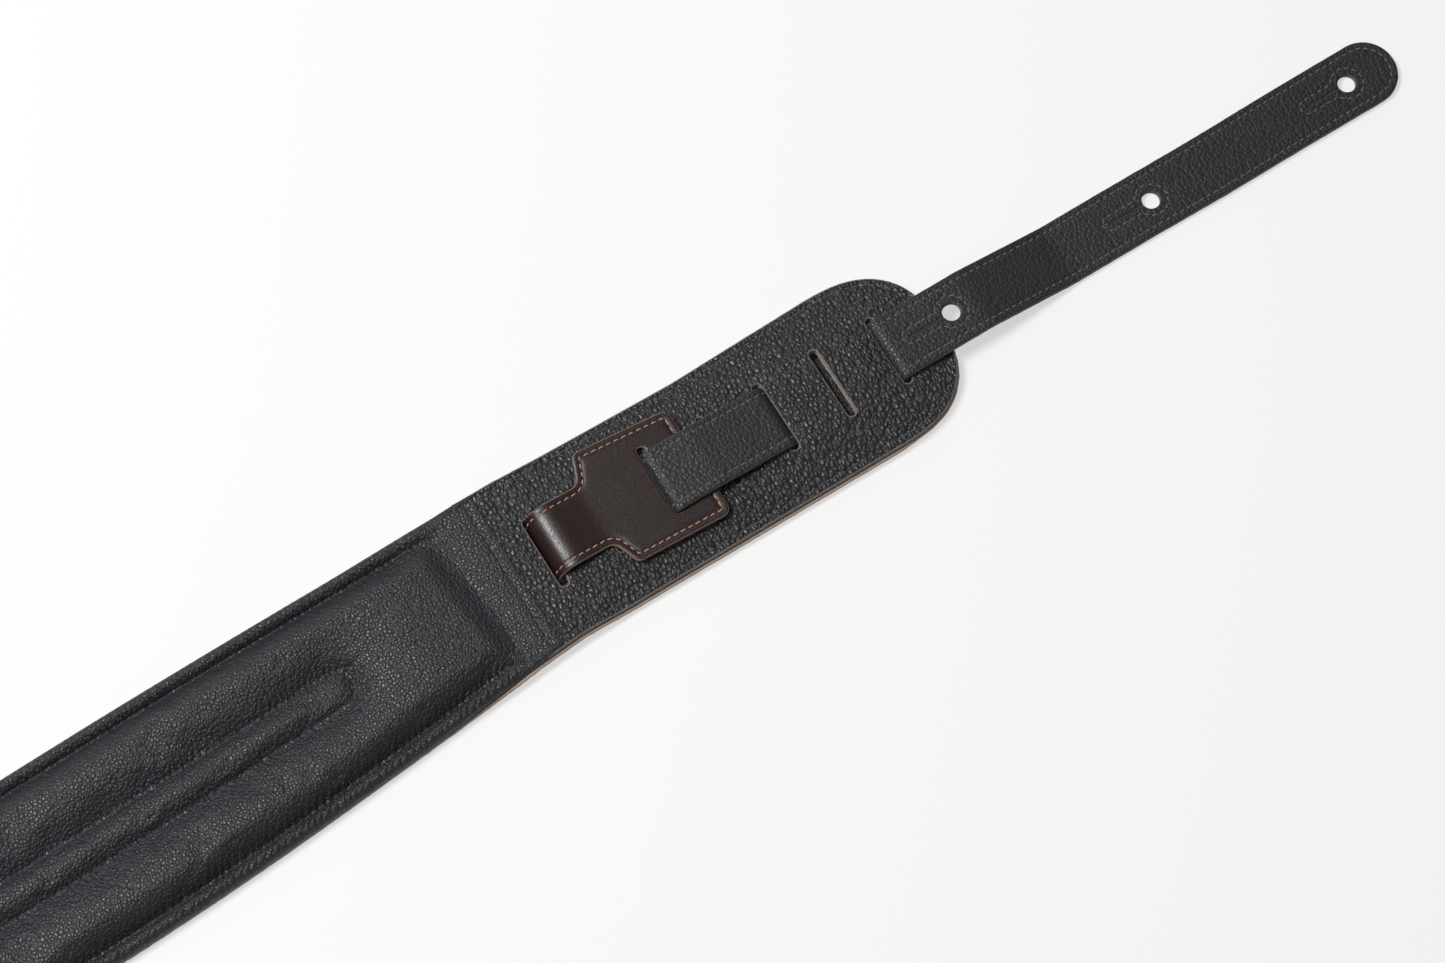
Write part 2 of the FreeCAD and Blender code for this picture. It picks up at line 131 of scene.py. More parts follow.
class StrapSizes(bpy.types.PropertyGroup):
    """Sizes of the strap's leathers and slots."""
    base_thickness: length("Base leather", "Thickness of the base leather", 0.0018)
    lining_thickness: length("End lining", "Thickness of the grained lining of both ends", 0.0018)
    face_thickness: length("Tail face", "Thickness of the tail's brown face leather", 0.0013)
    tail_lining_thickness: length("Tail lining", "Thickness of the tail's black lining", 0.0012)
    slot_pitch: length("Slot pitch", "Distance between ladder slots", 0.0234)
    slot_length: length("Slot length", "Full length of a slot", 0.028)
    slot_width: length("Slot width", "Width of a slot", 0.0034)
    slot_to_bend: length("Slot to bend", "From the last slot to the tail's bend", 0.0042)
    hole_radius: length("Button hole", "Radius of a strap button's hole", 0.0034)
    hole_pitch: length("Hole pitch", "Distance between button holes", 0.0855)
    hole_to_tip: length("Hole to tip", "From the outer hole's centre to the tip", 0.020)
    slit_length: length("Slit", "Length of a button hole's slit", 0.014)
    tab_reach: length("Tab reach", "From the first slot to the tab's end", 0.0622)
    neck_length: length("Neck", "From the first slot to the tab's shoulders", 0.0215)


class PadSizes(bpy.types.PropertyGroup):
    """Sizes of the pad's hem, ridges and channels."""
    pad_width: length("Pad width", "Full width at the middle", 0.0762)
    taper: length("Taper", "Distance over which the pad reaches its full width", 0.175)
    bow: length("Bow", "How far the pad's middle stands to one side", 0.0114)
    hem_width: length("Hem", "Width of the rolled hem", 0.0057)
    channel_half: length("Channel", "From the centre line to a channel", 0.0063)
    channel_margin: length("Channel end", "From the cross seam to the channels' round end", 0.0675)
    foam_margin: length("Foam margin", "From the cross seam to the foam", 0.015)
    foam_shoulder: length("Foam shoulder", "Distance over which the foam reaches its height", 0.036)
    ridge_height: length("Ridge", "Height of the two broad ridges", 0.0082)
    centre_height: length("Centre ridge", "Height of the ridge between the channels", 0.0062)
    channel_height: length("Channel floor", "Height of the channels", 0.003)
    bead_height: length("Bead", "Height of the rolled hem", 0.0040)
    gather: length("Gathers", "Depth of the small folds along the stitching", 0.00075)


class ThreadSizes(bpy.types.PropertyGroup):
    """Sizes of the stitching."""
    pitch: length("Stitch pitch", "Distance from stitch to stitch", 0.0029)
    stitch: length("Stitch", "Length of a stitch", 0.0023)
    thickness: length("Thread", "Thickness of the thread", 0.00052)
    inset: length("Inset", "From a cut edge to the stitching", 0.0026)
    seam_inset: length("Seam inset", "From the cover's edge to the cross seam", 0.003)


class StrapColours(bpy.types.PropertyGroup):
    """Colours of the strap's leathers and threads."""
    cover: colour("Pad cover", "Soft glove leather over the pad", (0.0100, 0.0102, 0.0142))
    grained: colour("Grained leather", "Pebble-grained leather of both ends", (0.0098, 0.0095, 0.0115))
    tail_lining: colour("Tail lining", "Matte lining of the tail", (0.0112, 0.0108, 0.0125))
    face: colour("Face leather", "Smooth brown leather of the tail and base", (0.0135, 0.0054, 0.0046))
    cut_edge: colour("Cut edge", "Raw suede of a cut edge", (0.40, 0.31, 0.25))
    black_thread: colour("Black thread", "Thread on the black leathers", (0.075, 0.0745, 0.076))
    tan_thread: colour("Tan thread", "Thread on the brown leather", (0.50, 0.25, 0.13))
    floor: colour("Floor", "Pale studio floor", (0.292, 0.292, 0.292))


def sizes():
    return bpy.context.scene.strap_sizes


def pad_sizes():
    return bpy.context.scene.pad_sizes


def thread_sizes():
    return bpy.context.scene.thread_sizes


def colours():
    return bpy.context.scene.strap_colours


def last_slot():
    return TAIL_BEND - sizes().slot_to_bend * 1000


def slot_place(index):
    """Place along the strap of a ladder slot; 0 is nearest the pad and 6 is the last."""
    return last_slot() - (6 - index) * sizes().slot_pitch * 1000


# ---------------------------------------------------------------- small tools

def smooth(t):
    """A gentle step from 0 to 1."""
    t = np.clip(t, 0.0, 1.0)
    return t * t * (3 - 2 * t)


def bell(t):
    """A bell curve, exp(-t squared)."""
    return np.exp(-t * t)


def noise(x, y, scale, seed):
    """Value noise from -1 to 1: random numbers on a square lattice, joined by gentle steps."""
    lattice = np.random.default_rng(seed).uniform(-1, 1, (256, 256))
    u, v = x / scale, y / scale
    i, j = np.floor(u).astype(int), np.floor(v).astype(int)
    fu, fv = smooth(u - i), smooth(v - j)
    a = lattice[i % 256, j % 256] * (1 - fu) + lattice[(i + 1) % 256, j % 256] * fu
    b = lattice[i % 256, (j + 1) % 256] * (1 - fu) + lattice[(i + 1) % 256, (j + 1) % 256] * fu
    return a * (1 - fv) + b * fv


def new_object(name, points, faces, material, attributes=None):
    """A smooth-shaded mesh from points in millimetres and a list of face corner arrays."""
    mesh = bpy.data.meshes.new(name)
    sizes_of = np.concatenate([np.full(len(f), f.shape[1]) for f in faces])
    corners = np.concatenate([f.ravel() for f in faces]).astype(np.int32)
    starts = np.concatenate([[0], np.cumsum(sizes_of)[:-1]]).astype(np.int32)
    mesh.vertices.add(len(points))
    mesh.vertices.foreach_set("co", (points / 1000.0).astype(np.float32).ravel())
    mesh.loops.add(len(corners))
    mesh.loops.foreach_set("vertex_index", corners)
    mesh.polygons.add(len(sizes_of))
    mesh.polygons.foreach_set("loop_start", starts)
    mesh.polygons.foreach_set("use_smooth", np.ones(len(sizes_of), bool))
    for key, values in (attributes or {}).items():
        mesh.attributes.new(key, "FLOAT", "POINT").data.foreach_set("value", values.astype(np.float32))
    mesh.update(calc_edges=True)
    if mesh.validate():
        raise RuntimeError(name + " has faces that don't fit together")
    obj = bpy.data.objects.new(name, mesh)
    bpy.context.scene.collection.objects.link(obj)
    obj.data.materials.append(material)
    return obj


# ---------------------------------------------------------------- plan outlines

def outline(corners, radii, inset=0.0, step=1.1):
    """A closed counter-clockwise outline. Each side moves inwards by the inset, each corner is rounded by its
    radius, less the inset outside and more inside, and the runs are split into steps."""
    p = np.array(corners, float)
    r = np.array(radii, float)
    into = p - np.roll(p, 1, axis=0)
    into /= np.linalg.norm(into, axis=1)[:, None]
    out = np.roll(into, -1, axis=0)
    n_in = np.stack([-into[:, 1], into[:, 0]], 1)
    n_out = np.stack([-out[:, 1], out[:, 0]], 1)
    cross = into[:, 0] * out[:, 1] - into[:, 1] * out[:, 0]
    dot = (into * out).sum(1)
    p = p + (n_in + n_out) * (inset / (1 + (n_in * n_out).sum(1)))[:, None]
    turn = np.arctan2(np.abs(cross), dot)
    r = np.where(r > 0, np.maximum(r - inset * np.sign(cross), 0.15), 0.0)
    points = []
    for i in range(len(p)):
        if r[i] <= 0 or turn[i] < 0.02:
            points.append(p[i][None])
            continue
        reach = r[i] * math.tan(turn[i] / 2)
        start = p[i] - into[i] * reach
        centre = start + n_in[i] * r[i] * np.sign(cross[i])
        count = max(3, int(math.ceil(turn[i] * r[i] / (0.8 * step))) + 1)
        angle = np.linspace(0, turn[i], count) * np.sign(cross[i])
        arm = start - centre
        points.append(centre + np.stack([arm[0] * np.cos(angle) - arm[1] * np.sin(angle),
                                         arm[0] * np.sin(angle) + arm[1] * np.cos(angle)], 1))
    loop = np.concatenate(points)
    ahead = np.roll(loop, -1, axis=0)
    counts = np.maximum(1, np.ceil(np.linalg.norm(ahead - loop, axis=1) / step)).astype(int)
    which = np.repeat(np.arange(len(loop)), counts)
    share = (np.arange(len(which)) - np.repeat(np.cumsum(counts) - counts, counts)) / counts[which]
    return loop[which] * (1 - share[:, None]) + ahead[which] * share[:, None]


def keyhole(u, side, grow=0.0, step=0.7):
    """The outline of a button hole and its slit, which runs towards the given side; grow moves it outwards."""
    s = sizes()
    radius, half = s.hole_radius * 1000 + grow, 0.12 + grow
    reach = (s.hole_radius + s.slit_length) * 1000
    open_angle = math.asin(min(half / radius, 0.95))
    angle = np.linspace(open_angle, 2 * math.pi - open_angle, int(2 * math.pi * radius / step) + 6)
    ring = np.stack([radius * np.cos(angle), radius * np.sin(angle)], 1)
    bend = np.linspace(-math.pi / 2, math.pi / 2, 9)
    cap = np.stack([reach + half * np.cos(bend), half * np.sin(bend)], 1)
    run = np.linspace(radius * math.cos(open_angle), reach, int(reach / 1.2))[1:-1]
    lower = np.stack([run, np.full(len(run), -half)], 1)
    upper = np.stack([run[::-1], np.full(len(run), half)], 1)
    loop = np.concatenate([ring, lower, cap, upper])
    return np.stack([u + side * loop[:, 0], side * loop[:, 1]], 1)


def slot_outline(u, v=0.0):
    """The outline of a slot across the strap, with round ends."""
    s = sizes()
    half, end = s.slot_width * 500, s.slot_length * 500
    corners = [(u - half, v - end), (u + half, v - end), (u + half, v + end), (u - half, v + end)]
    return outline(corners, [half * 0.999] * 4, 0.0, 0.8)


def edge_distance(points, loops):
    """Distance from each point to the nearest of the loops' sides."""
    a = np.concatenate(loops)
    b = np.concatenate([np.roll(loop, -1, axis=0) for loop in loops])
    d = b - a
    size = np.maximum((d * d).sum(1), 1e-12)
    nearest = []
    for part in np.array_split(points, max(1, len(points) // 1500)):
        w = part[:, None] - a[None]
        t = np.clip((w * d).sum(2) / size, 0, 1)
        nearest.append(np.sqrt(((w - t[..., None] * d) ** 2).sum(2).min(1)))
    return np.concatenate(nearest)


def is_inside(points, loops):
    """True where a ray along +U crosses the loops an odd number of times."""
    a = np.concatenate(loops)
    b = np.concatenate([np.roll(loop, -1, axis=0) for loop in loops])
    found = []
    for part in np.array_split(points, max(1, len(points) // 1500)):
        u, v = part[:, :1], part[:, 1:]
        spans = (a[:, 1] > v) != (b[:, 1] > v)
        rise = np.where(b[:, 1] == a[:, 1], 1e-9, b[:, 1] - a[:, 1])
        found.append((spans & (u < a[:, 0] + (v - a[:, 1]) * (b[:, 0] - a[:, 0]) / rise)).sum(1) % 2 == 1)
    return np.concatenate(found)


def outward(loop):
    """Unit steps away from the leather at each point of a closed outline."""
    ahead = np.roll(loop, -1, axis=0) - np.roll(loop, 1, axis=0)
    ahead /= np.maximum(np.linalg.norm(ahead, axis=1)[:, None], 1e-9)
    return np.stack([ahead[:, 1], -ahead[:, 0]], 1)


def sheet_of_leather(name, outer, holes, low, high, place, material, spacing=1.6, dent=0.2, joins=(),
                     raw=0.4, plain=0, seed=1):
    """A closed sheet of leather, as one object.

    The plan is split into triangles between its cut edges. Each point is placed at the heights low and high,
    which draw together over a quarter circle at a cut edge, and by the dent along the stitching. The first few
    holes, by the number plain, have no stitching. The wall bulges a little and carries the attribute cut_edge,
    which fades over the distance raw. The joins are places along U where the sheet goes on in another piece,
    so that it has no rounded edge there.
    """
    loops = [outer] + list(holes)
    real = []
    for loop in loops:
        keep = np.ones(len(loop), bool)
        for join in joins:
            keep &= np.abs(loop[:, 0] - join) > 0.01
        real.append(keep)
    sides = [loop if keep.all() else loop[keep] for loop, keep in zip(loops, real)]
    if joins:
        sides = [np.concatenate([s, s[::-1]]) for s in sides]
        at = np.concatenate([[0], np.flatnonzero(np.linalg.norm(np.diff(sides[0], axis=0), axis=1) > 8) + 1])
        if len(at) > 1:
            sides[0] = np.roll(sides[0], -at[1], axis=0)
    lo, hi = outer.min(0), outer.max(0)
    gu, gv = np.meshgrid(np.arange(lo[0], hi[0], spacing), np.arange(lo[1], hi[1], spacing * 0.87),
                         indexing="ij")
    gu = gu + spacing / 2 * (np.arange(gu.shape[1])[None] % 2)
    grid = np.stack([gu.ravel(), gv.ravel()], 1)
    grid = grid[is_inside(grid, loops)]
    grid = grid[edge_distance(grid, loops) > 1.5]
    rings = []
    inset = thread_sizes().inset * 1000
    for distance in (0.3, 0.8, inset - 0.5, inset, inset + 0.5):
        for loop in loops:
            ring = loop - distance * outward(loop)
            rings.append(ring[np.abs(edge_distance(ring, loops) - distance) < 0.06])
    rings = np.concatenate(rings)
    rings = rings[is_inside(rings, loops)]
    grid = grid[np.abs(edge_distance(grid, loops) - inset) > 0.85]
    inner = np.concatenate([grid, rings])
    count = sum(len(loop) for loop in loops)
    edges, first = [], 0
    for loop in loops:
        index = np.arange(len(loop)) + first
        edges += list(zip(index.tolist(), np.roll(index, -1).tolist()))
        first += len(loop)
    plan = np.concatenate(loops + [inner])
    got = delaunay_2d_cdt([Vector(p) for p in plan.tolist()], edges, [], 0, 1e-5)
    flat = np.array([tuple(v) for v in got[0]])
    tri = np.array(got[2])
    tri = tri[is_inside(flat[tri].mean(1), loops)]
    lookup = {}
    for new, olds in enumerate(got[3]):
        for old in olds:
            if old < count:
                lookup[old] = new
    used = np.unique(tri)
    renumber = -np.ones(len(flat), int)
    renumber[used] = np.arange(len(used))
    tri, flat = renumber[tri], flat[used]
    area = np.cross(flat[tri[:, 1]] - flat[tri[:, 0]], flat[tri[:, 2]] - flat[tri[:, 0]])
    tri[area < 0] = tri[area < 0][:, ::-1]

    distance = edge_distance(flat, sides)
    stitched = edge_distance(flat, [sides[0]] + sides[1 + plain:])
    thick = high - low
    corner = 0.2 * thick
    drop = corner * (1 - np.sqrt(1 - (1 - np.clip(distance / corner, 0, 1)) ** 2))
    drop = drop + dent * bell((stitched - inset) / 0.42)
    u, v = flat[:, 0], flat[:, 1]
    top, bottom = place(u, v, high - drop), place(u, v, low + drop)
    n = len(flat)
    points, faces = [top, bottom], [tri, tri[:, ::-1] + n]
    rim = np.clip(1 - distance / raw, 0, 1)
    edge_mask = [rim, rim]
    first, base = 0, 2 * n
    for number, (loop, keep) in enumerate(zip(loops, real)):
        ids = renumber[[lookup[first + k] for k in range(len(loop))]]
        first += len(loop)
        fuzz = 0.09 * thick + 0.10 * noise(loop[:, 0] + 37 * number, loop[:, 1], 1.3, seed)
        away = outward(loop) * (np.where(keep, fuzz, 0.0))[:, None]
        points.append(place(loop[:, 0] + away[:, 0], loop[:, 1] + away[:, 1],
                            np.full(len(loop), (low + high) / 2)))
        edge_mask.append(np.where(keep, 1.0, 0.0))
        mid = base + np.arange(len(loop))
        base += len(loop)
        following = np.roll(np.arange(len(loop)), -1)
        faces.append(np.stack([ids, mid, mid[following], ids[following]], 1))
        faces.append(np.stack([mid, ids + n, ids[following] + n, mid[following]], 1))
    tri_faces = np.concatenate(faces[:2])
    quad_faces = np.concatenate(faces[2:])
    return new_object(name, np.concatenate(points), [tri_faces, quad_faces], material,
                      {"cut_edge": np.concatenate(edge_mask)})


# ---------------------------------------------------------------- stitches

def stitching(name, lines, material, lift=0.1, seed=1):
    """Rows of separate stitches. A line is its points and the surface's normals there. A stitch is a tube along
    the line whose radius closes at both ends as a rounded square root, and whose ends dip into the leather."""
    t = thread_sizes()
    pitch, long, radius = t.pitch * 1000, t.stitch * 1000, t.thickness * 500
    along = np.array([-1.0, -0.82, -0.45, 0.0, 0.45, 0.82, 1.0])
    around = np.arange(6) * math.pi / 3
    points, twist = [], []
    for number, (line, normals) in enumerate(lines):
        step = np.linalg.norm(np.diff(line, axis=0), axis=1)
        s = np.concatenate([[0], np.cumsum(step)])
        count = max(1, int(s[-1] / pitch))
        gap = s[-1] / count
        rng = np.random.default_rng(seed + number)
        centre = (np.arange(count) + 0.5) * gap + rng.uniform(-0.06, 0.06, count)
        size = long * gap / pitch * rng.uniform(0.93, 1.05, count)
        at = np.clip(centre[:, None] + 0.5 * size[:, None] * along, 0, s[-1])
        middle = np.stack([np.interp(at, s, line[:, k]) for k in range(3)], -1)
        up = np.stack([np.interp(at, s, normals[:, k]) for k in range(3)], -1)
        up /= np.linalg.norm(up, axis=-1, keepdims=True)
        ahead = np.stack([np.interp(np.clip(at + 0.2, 0, s[-1]), s, line[:, k])
                          - np.interp(np.clip(at - 0.2, 0, s[-1]), s, line[:, k]) for k in range(3)], -1)
        ahead /= np.maximum(np.linalg.norm(ahead, axis=-1, keepdims=True), 1e-9)
        side = np.cross(up, ahead)
        middle = middle + up * (lift - 0.42 * np.abs(along) ** 3)[None, :, None]
        middle = middle + side * (0.12 * along[None, :, None]) * rng.choice([0.4, 1.0], count)[:, None, None]
        r = radius * np.sqrt(np.maximum(1 - np.abs(along) ** 4, 0.04))
        ring = (side[:, :, None] * np.cos(around)[None, None, :, None]
                + up[:, :, None] * np.sin(around)[None, None, :, None])
        points.append((middle[:, :, None] + ring * r[None, :, None, None]).reshape(-1, 3))
        turns = (along[:, None] * size.mean() * 3.4 + around[None]).ravel()
        twist.append(np.tile(turns, count))
    points, twist = np.concatenate(points), np.concatenate(twist)
    m, k = len(along), len(around)
    start = np.arange(len(points) // (m * k)) * m * k
    i, j = np.meshgrid(np.arange(m - 1), np.arange(k), indexing="ij")
    i, j = i.ravel(), j.ravel()
    tube = np.stack([i * k + j, i * k + (j + 1) % k, (i + 1) * k + (j + 1) % k, (i + 1) * k + j], 1)
    quads = (start[:, None, None] + tube[None]).reshape(-1, 4)
    low_cap = (start[:, None] + np.arange(k)[::-1][None])
    high_cap = (start[:, None] + (m - 1) * k + np.arange(k)[None])
    return new_object(name, points, [quads, low_cap, high_cap], material, {"twist": twist})


def plan_line(loop, place, height, closed=True):
    """A stitching line from plan points: its points on the leather and the normals there."""
    if closed:
        loop = np.concatenate([loop, loop[:1]])
    u, v = loop[:, 0], loop[:, 1]
    low, high = place(u, v, np.full(len(u), height)), place(u, v, np.full(len(u), height + 0.2))
    normals = (high - low) / 0.2
    return low, normals


def upright(line):
    """A stitching line whose normals all point up."""
    return line, np.tile([0.0, 0.0, 1.0], (len(line), 1))


def parts_of(loop, keep):
    """The runs of a closed loop where keep is true, each as an open line."""
    if keep.all():
        return [np.concatenate([loop, loop[:1]])]
    first = np.flatnonzero(~keep)[0]
    loop, keep = np.roll(loop, -first, axis=0), np.roll(keep, -first)
    cuts = np.flatnonzero(np.diff(keep.astype(int))) + 1
    pieces = zip(np.split(loop, cuts), np.split(keep, cuts))
    return [run for run, wanted in pieces if wanted[0] and len(run) > 2]


# ---------------------------------------------------------------- the pad's shape

SEAM_HEM = 1.9          # width of the hem at the cross seams
RISE_RUN = 60.0         # distance over which the pad lifts towards the rear end
DOME_RUN = 9.5          # distance from the hem's groove to the top of a broad ridge
CHANNEL_SPREAD = 6.4    # distance over which a channel's wall rises
ROLL_TURN = 0.82        # share of a half circle by which the hem rolls
ROLL_BACK = 0.844       # how far the roll reaches back at its inner end, as a share of its radius
Q_HEM = 0.8             # place of the hem's groove, of 1 at the hem's lower edge


def seam_distance(x):
    """Distance from the nearer cross seam."""
    return np.minimum(REAR_SEAM - x, x - FRONT_SEAM)


def bow(x):
    """Sideways place of the pad's centre line: a shallow parabola between the seams."""
    s = np.clip((REAR_SEAM - x) / PAD_LENGTH, 0, 1)
    return Y_AXIS - 4000 * pad_sizes().bow * s * (1 - s)


def half_width(x):
    """Half the width, from the end's width to the pad's over the taper, as a quarter sine."""
    p = pad_sizes()
    share = np.clip(seam_distance(x) / (p.taper * 1000), 0, 1)
    return END_HALF + (p.pad_width * 500 - END_HALF) * np.sin(math.pi / 2 * share)


def rise(x):
    """Height of the base leather's underside, which lifts at the rear, where the tail lies beneath."""
    end = REAR_SEAM - thread_sizes().seam_inset * 1000
    return Z_END_BOTTOM * smooth((x - end + RISE_RUN) / RISE_RUN)


def base_top(x):
    """Height of the base leather's upper side."""
    return rise(x) + sizes().base_thickness * 1000


def channel_run():
    """Half the length of the channels' straight runs."""
    p = pad_sizes()
    return PAD_LENGTH / 2 - p.channel_margin * 1000 - p.channel_half * 1000


def channel_field(x, y):
    """Signed distance to the closed line of the two channels: straight runs joined by half circles."""
    over = np.maximum(np.abs(x - MIDDLE) - channel_run(), 0)
    return np.sqrt(over ** 2 + y ** 2) - pad_sizes().channel_half * 1000


def hem_place(x):
    """Distance of the hem's groove from the pad's edge: narrow at the seams, wide along the foam."""
    return SEAM_HEM + (pad_sizes().hem_width * 1000 - SEAM_HEM) * smooth((seam_distance(x) - 8) / 14)


def hem_line(x):
    """Distance of the hem's groove from the pad's centre line."""
    return half_width(x) - hem_place(x)


def full_height(x, y=0.0):
    """How far the foam has risen, from 0 at its slanting end to 1: a short step, then a long quarter sine."""
    p = pad_sizes()
    share = np.clip((seam_distance(x) - p.foam_margin * 1000 - 0.13 * y) / (p.foam_shoulder * 1000), 0, 1)
    return 0.45 * smooth(share * 3.6) + 0.55 * np.sin(math.pi / 2 * share) ** 1.5


def flat_height(x, y=0.0):
    """Height of the cover where there is no foam: over the tucked lining, a gentle step down to the base leather,
    and a bell-shaped dent along the cross seam."""
    d = seam_distance(x)
    return 2.7 - 0.5 * smooth((d - 5.0 - 0.1 * y) / 12.0) - 0.28 * bell((d - 3.0) / 0.9)


def top_height(x, y):
    """Height of the cover above the base leather, inside its hems.

    Two broad ridges rise steeply from the hems. The channels are carved along the channel line with a bell
    curve outside it, and the centre ridge is a half ellipse inside it. Noise makes it a little uneven where the
    foam has risen.
    """
    p = pad_sizes()
    hem = hem_line(x)
    inner = p.channel_half * 1000
    full = full_height(x, y)
    groove = 1.25 + 0.35 * full
    off_hem = np.maximum(hem - np.abs(y), 0)
    arch = np.sin(math.pi / 2 * np.clip(off_hem / DOME_RUN, 0, 1)) ** 0.85
    dome = groove + (p.ridge_height * 1000 - groove) * arch
    field = channel_field(x, y)
    floor = p.channel_height * 1000
    outside = dome - (dome - floor) * np.exp(-(np.maximum(field, 0) / CHANNEL_SPREAD) ** 1.4)
    to_end = p.channel_margin * 1000 - seam_distance(x)
    crown = p.centre_height * 1000 - 1.3 * smooth((to_end + 34) / 34)
    lift = np.sin(math.pi / 2 * np.clip(-field / inner, 0, 1)) ** 0.75
    inside = floor + (crown - floor) * lift
    shape = np.where(field > 0, outside, inside)
    flat = flat_height(x, y)
    body = flat + full * (shape - flat)
    body = body + full * (0.22 * noise(x, y, 17, 3) + 0.07 * noise(x, y * 1.4, 7, 4))
    return np.where(off_hem <= 0, groove * full + flat * (1 - full), body)


def folds(x, y):
    """Small folds beside the hem's groove and the channels, one to a stitch, leaning a little."""
    pitch = thread_sizes().pitch * 1000
    hem = hem_line(x)
    beside = np.abs(np.abs(y) - hem)
    on_foam = smooth((seam_distance(x) - 16) / 10)
    wander = 0.9 * noise(x, y, 5, 11)
    slant = np.where(np.abs(y) > hem, 0.9, -0.7) * beside
    wave = np.abs(np.sin(math.pi * (x + slant + wander) / pitch)) - 0.35
    strong = 0.75 + 0.5 * noise(x, np.sign(y) * 40, 9, 12)
    hem_folds = wave * strong * np.where(np.abs(y) > hem, 1.8 * bell(beside / 4.6), 0.8 * bell(beside / 3.4))
    field = channel_field(x, y)
    lean = np.abs(np.sin(math.pi * (x - 0.5 * np.abs(y) + 1.1 * noise(x, y, 4, 13)) / (0.85 * pitch)))
    channel_folds = (lean - 0.35) * (0.7 + 0.5 * noise(x, y, 8, 14))
    channel_folds = channel_folds * np.where(field > 0, bell(field / 3.8), 1.2 * bell(field / 2.6))
    past = np.abs(x - MIDDLE) - channel_run()
    angle = np.arctan2(y, np.maximum(past, 0.01))
    creases = np.abs(np.sin(9 * angle + 2.2 * noise(x, y, 6, 15))) * smooth(past / 3) * bell((field - 3.5) / 4.5)
    line = seam_distance(x) - 14.5 - 1.2 * np.sin(y / 11.0)
    end_fold = bell(line / 1.3) * (0.5 + 0.5 * noise(x, y, 9, 16))
    wrinkles = 0.09 * np.abs(noise(x - 0.5 * y, 1.8 * y, 5.5, 17)) * full_height(x)
    return 1000 * pad_sizes().gather * (hem_folds * on_foam + 0.8 * channel_folds * full_height(x)
                                        + 0.6 * creases - 0.35 * end_fold + wrinkles)


def pad_surface(x, q, folded=1.0):
    """Point of the cover at x, with q from -1 to 1 across it, and over the hem's roll beyond 0.8.

    Inside the hem's groove, y grows evenly with q. Outside, the point turns about the bead's centre by a bit
    more than a half circle, from the groove to the base leather's edge.
    """
    side, size = np.sign(q), np.abs(q)
    half, hem_gap = half_width(x), hem_place(x)
    hem = half - hem_gap
    y = side * hem * np.clip(size / Q_HEM, 0, 1)
    z = top_height(x, y)
    angle = math.pi * ROLL_TURN * (1 - np.clip((size - Q_HEM) / 0.2, 0, 1))
    full = full_height(x)
    bead = flat_height(x) + full * (pad_sizes().bead_height * 1000 - flat_height(x))
    bead = bead + 0.25 * full * noise(x, side * 30, 23, 8)
    roll_y = half - hem_gap / 2 + hem_gap / 2 * np.cos(angle) / np.where(angle > math.pi / 2, ROLL_BACK, 1.0)
    roll_z = bead * np.sin(angle) ** 0.75
    start = bead * math.sin(math.pi * ROLL_TURN) ** 0.75
    roll_z = roll_z + (top_height(x, side * hem) - start) * np.clip((angle / math.pi - 0.5) / 0.32, 0, 1)
    out = size > Q_HEM
    y = np.where(out, side * roll_y, y)
    z = np.where(out, roll_z, z)
    z = z + folded * folds(x, y) * np.where(out, np.sin(angle), 1.0)
    return np.stack([x + 0 * y, bow(x) + y, base_top(x) + np.maximum(z, 0.0)], -1)


# ---------------------------------------------------------------- the woven strap's path

def strap_path():
    """The woven strap from the tab's end to the tip, seen from the side.

    Straight runs between corners, stepped finely, then averaged with a bell curve, which rounds every bend.
    Returns the distance along the path and its x and z, which lie between the face leather and the lining.
    """
    s = sizes()
    face, lining = s.face_thickness * 1000, s.tail_lining_thickness * 1000
    under, z_tab = face + 0.05, Z_END_TOP + 0.1 + lining
    over, bridge = Z_END_TOP + 0.1 + face, Z_END_TOP + 0.2 + lining + 2 * face
    first, up, down, last = slot_place(0), slot_place(2), slot_place(4), slot_place(6)
    end = first + s.tab_reach * 1000
    corners = np.array([(end + 12, z_tab), (end, z_tab), (first + 20, z_tab), (first + 13, z_tab + 1.0),
                        (first + 8, z_tab + 1.9), (first + 4, z_tab + 1.4), (first + 0.8, z_tab - 1.2),
                        (first, z_tab - 4), (first, under), (up - 0.7, under),
                        (up - 0.7, bridge), (end + 1.5, bridge), (down - 6, over + 0.3), (down + 0.3, over),
                        (down + 0.3, under), (last - 0.8, under), (last - 0.8, over + 0.15), (last + 12, over),
                        (last + 36, over), (last + 72, under), (TIP, under), (TIP + 12, under)])
    step = 0.2
    runs = np.linalg.norm(np.diff(corners, axis=0), axis=1)
    at = np.concatenate([[0], np.cumsum(runs)])
    even = np.arange(0, at[-1], step)
    x, z = np.interp(even, at, corners[:, 0]), np.interp(even, at, corners[:, 1])
    kernel = bell(np.arange(-25, 26) * step / (1.35 * math.sqrt(2)))
    kernel /= kernel.sum()
    x, z = np.convolve(x, kernel, "valid"), np.convolve(z, kernel, "valid")
    travelled = np.concatenate([[0], np.cumsum(np.hypot(np.diff(x), np.diff(z)))])
    begin = np.interp(-end, -x[:200], travelled[:200])
    finish = np.interp(TIP, x[-200:], travelled[-200:])
    s_even = np.linspace(begin, finish, int((finish - begin) / step))
    x, z = np.interp(s_even, travelled, x), np.interp(s_even, travelled, z)
    return s_even - begin, x, z


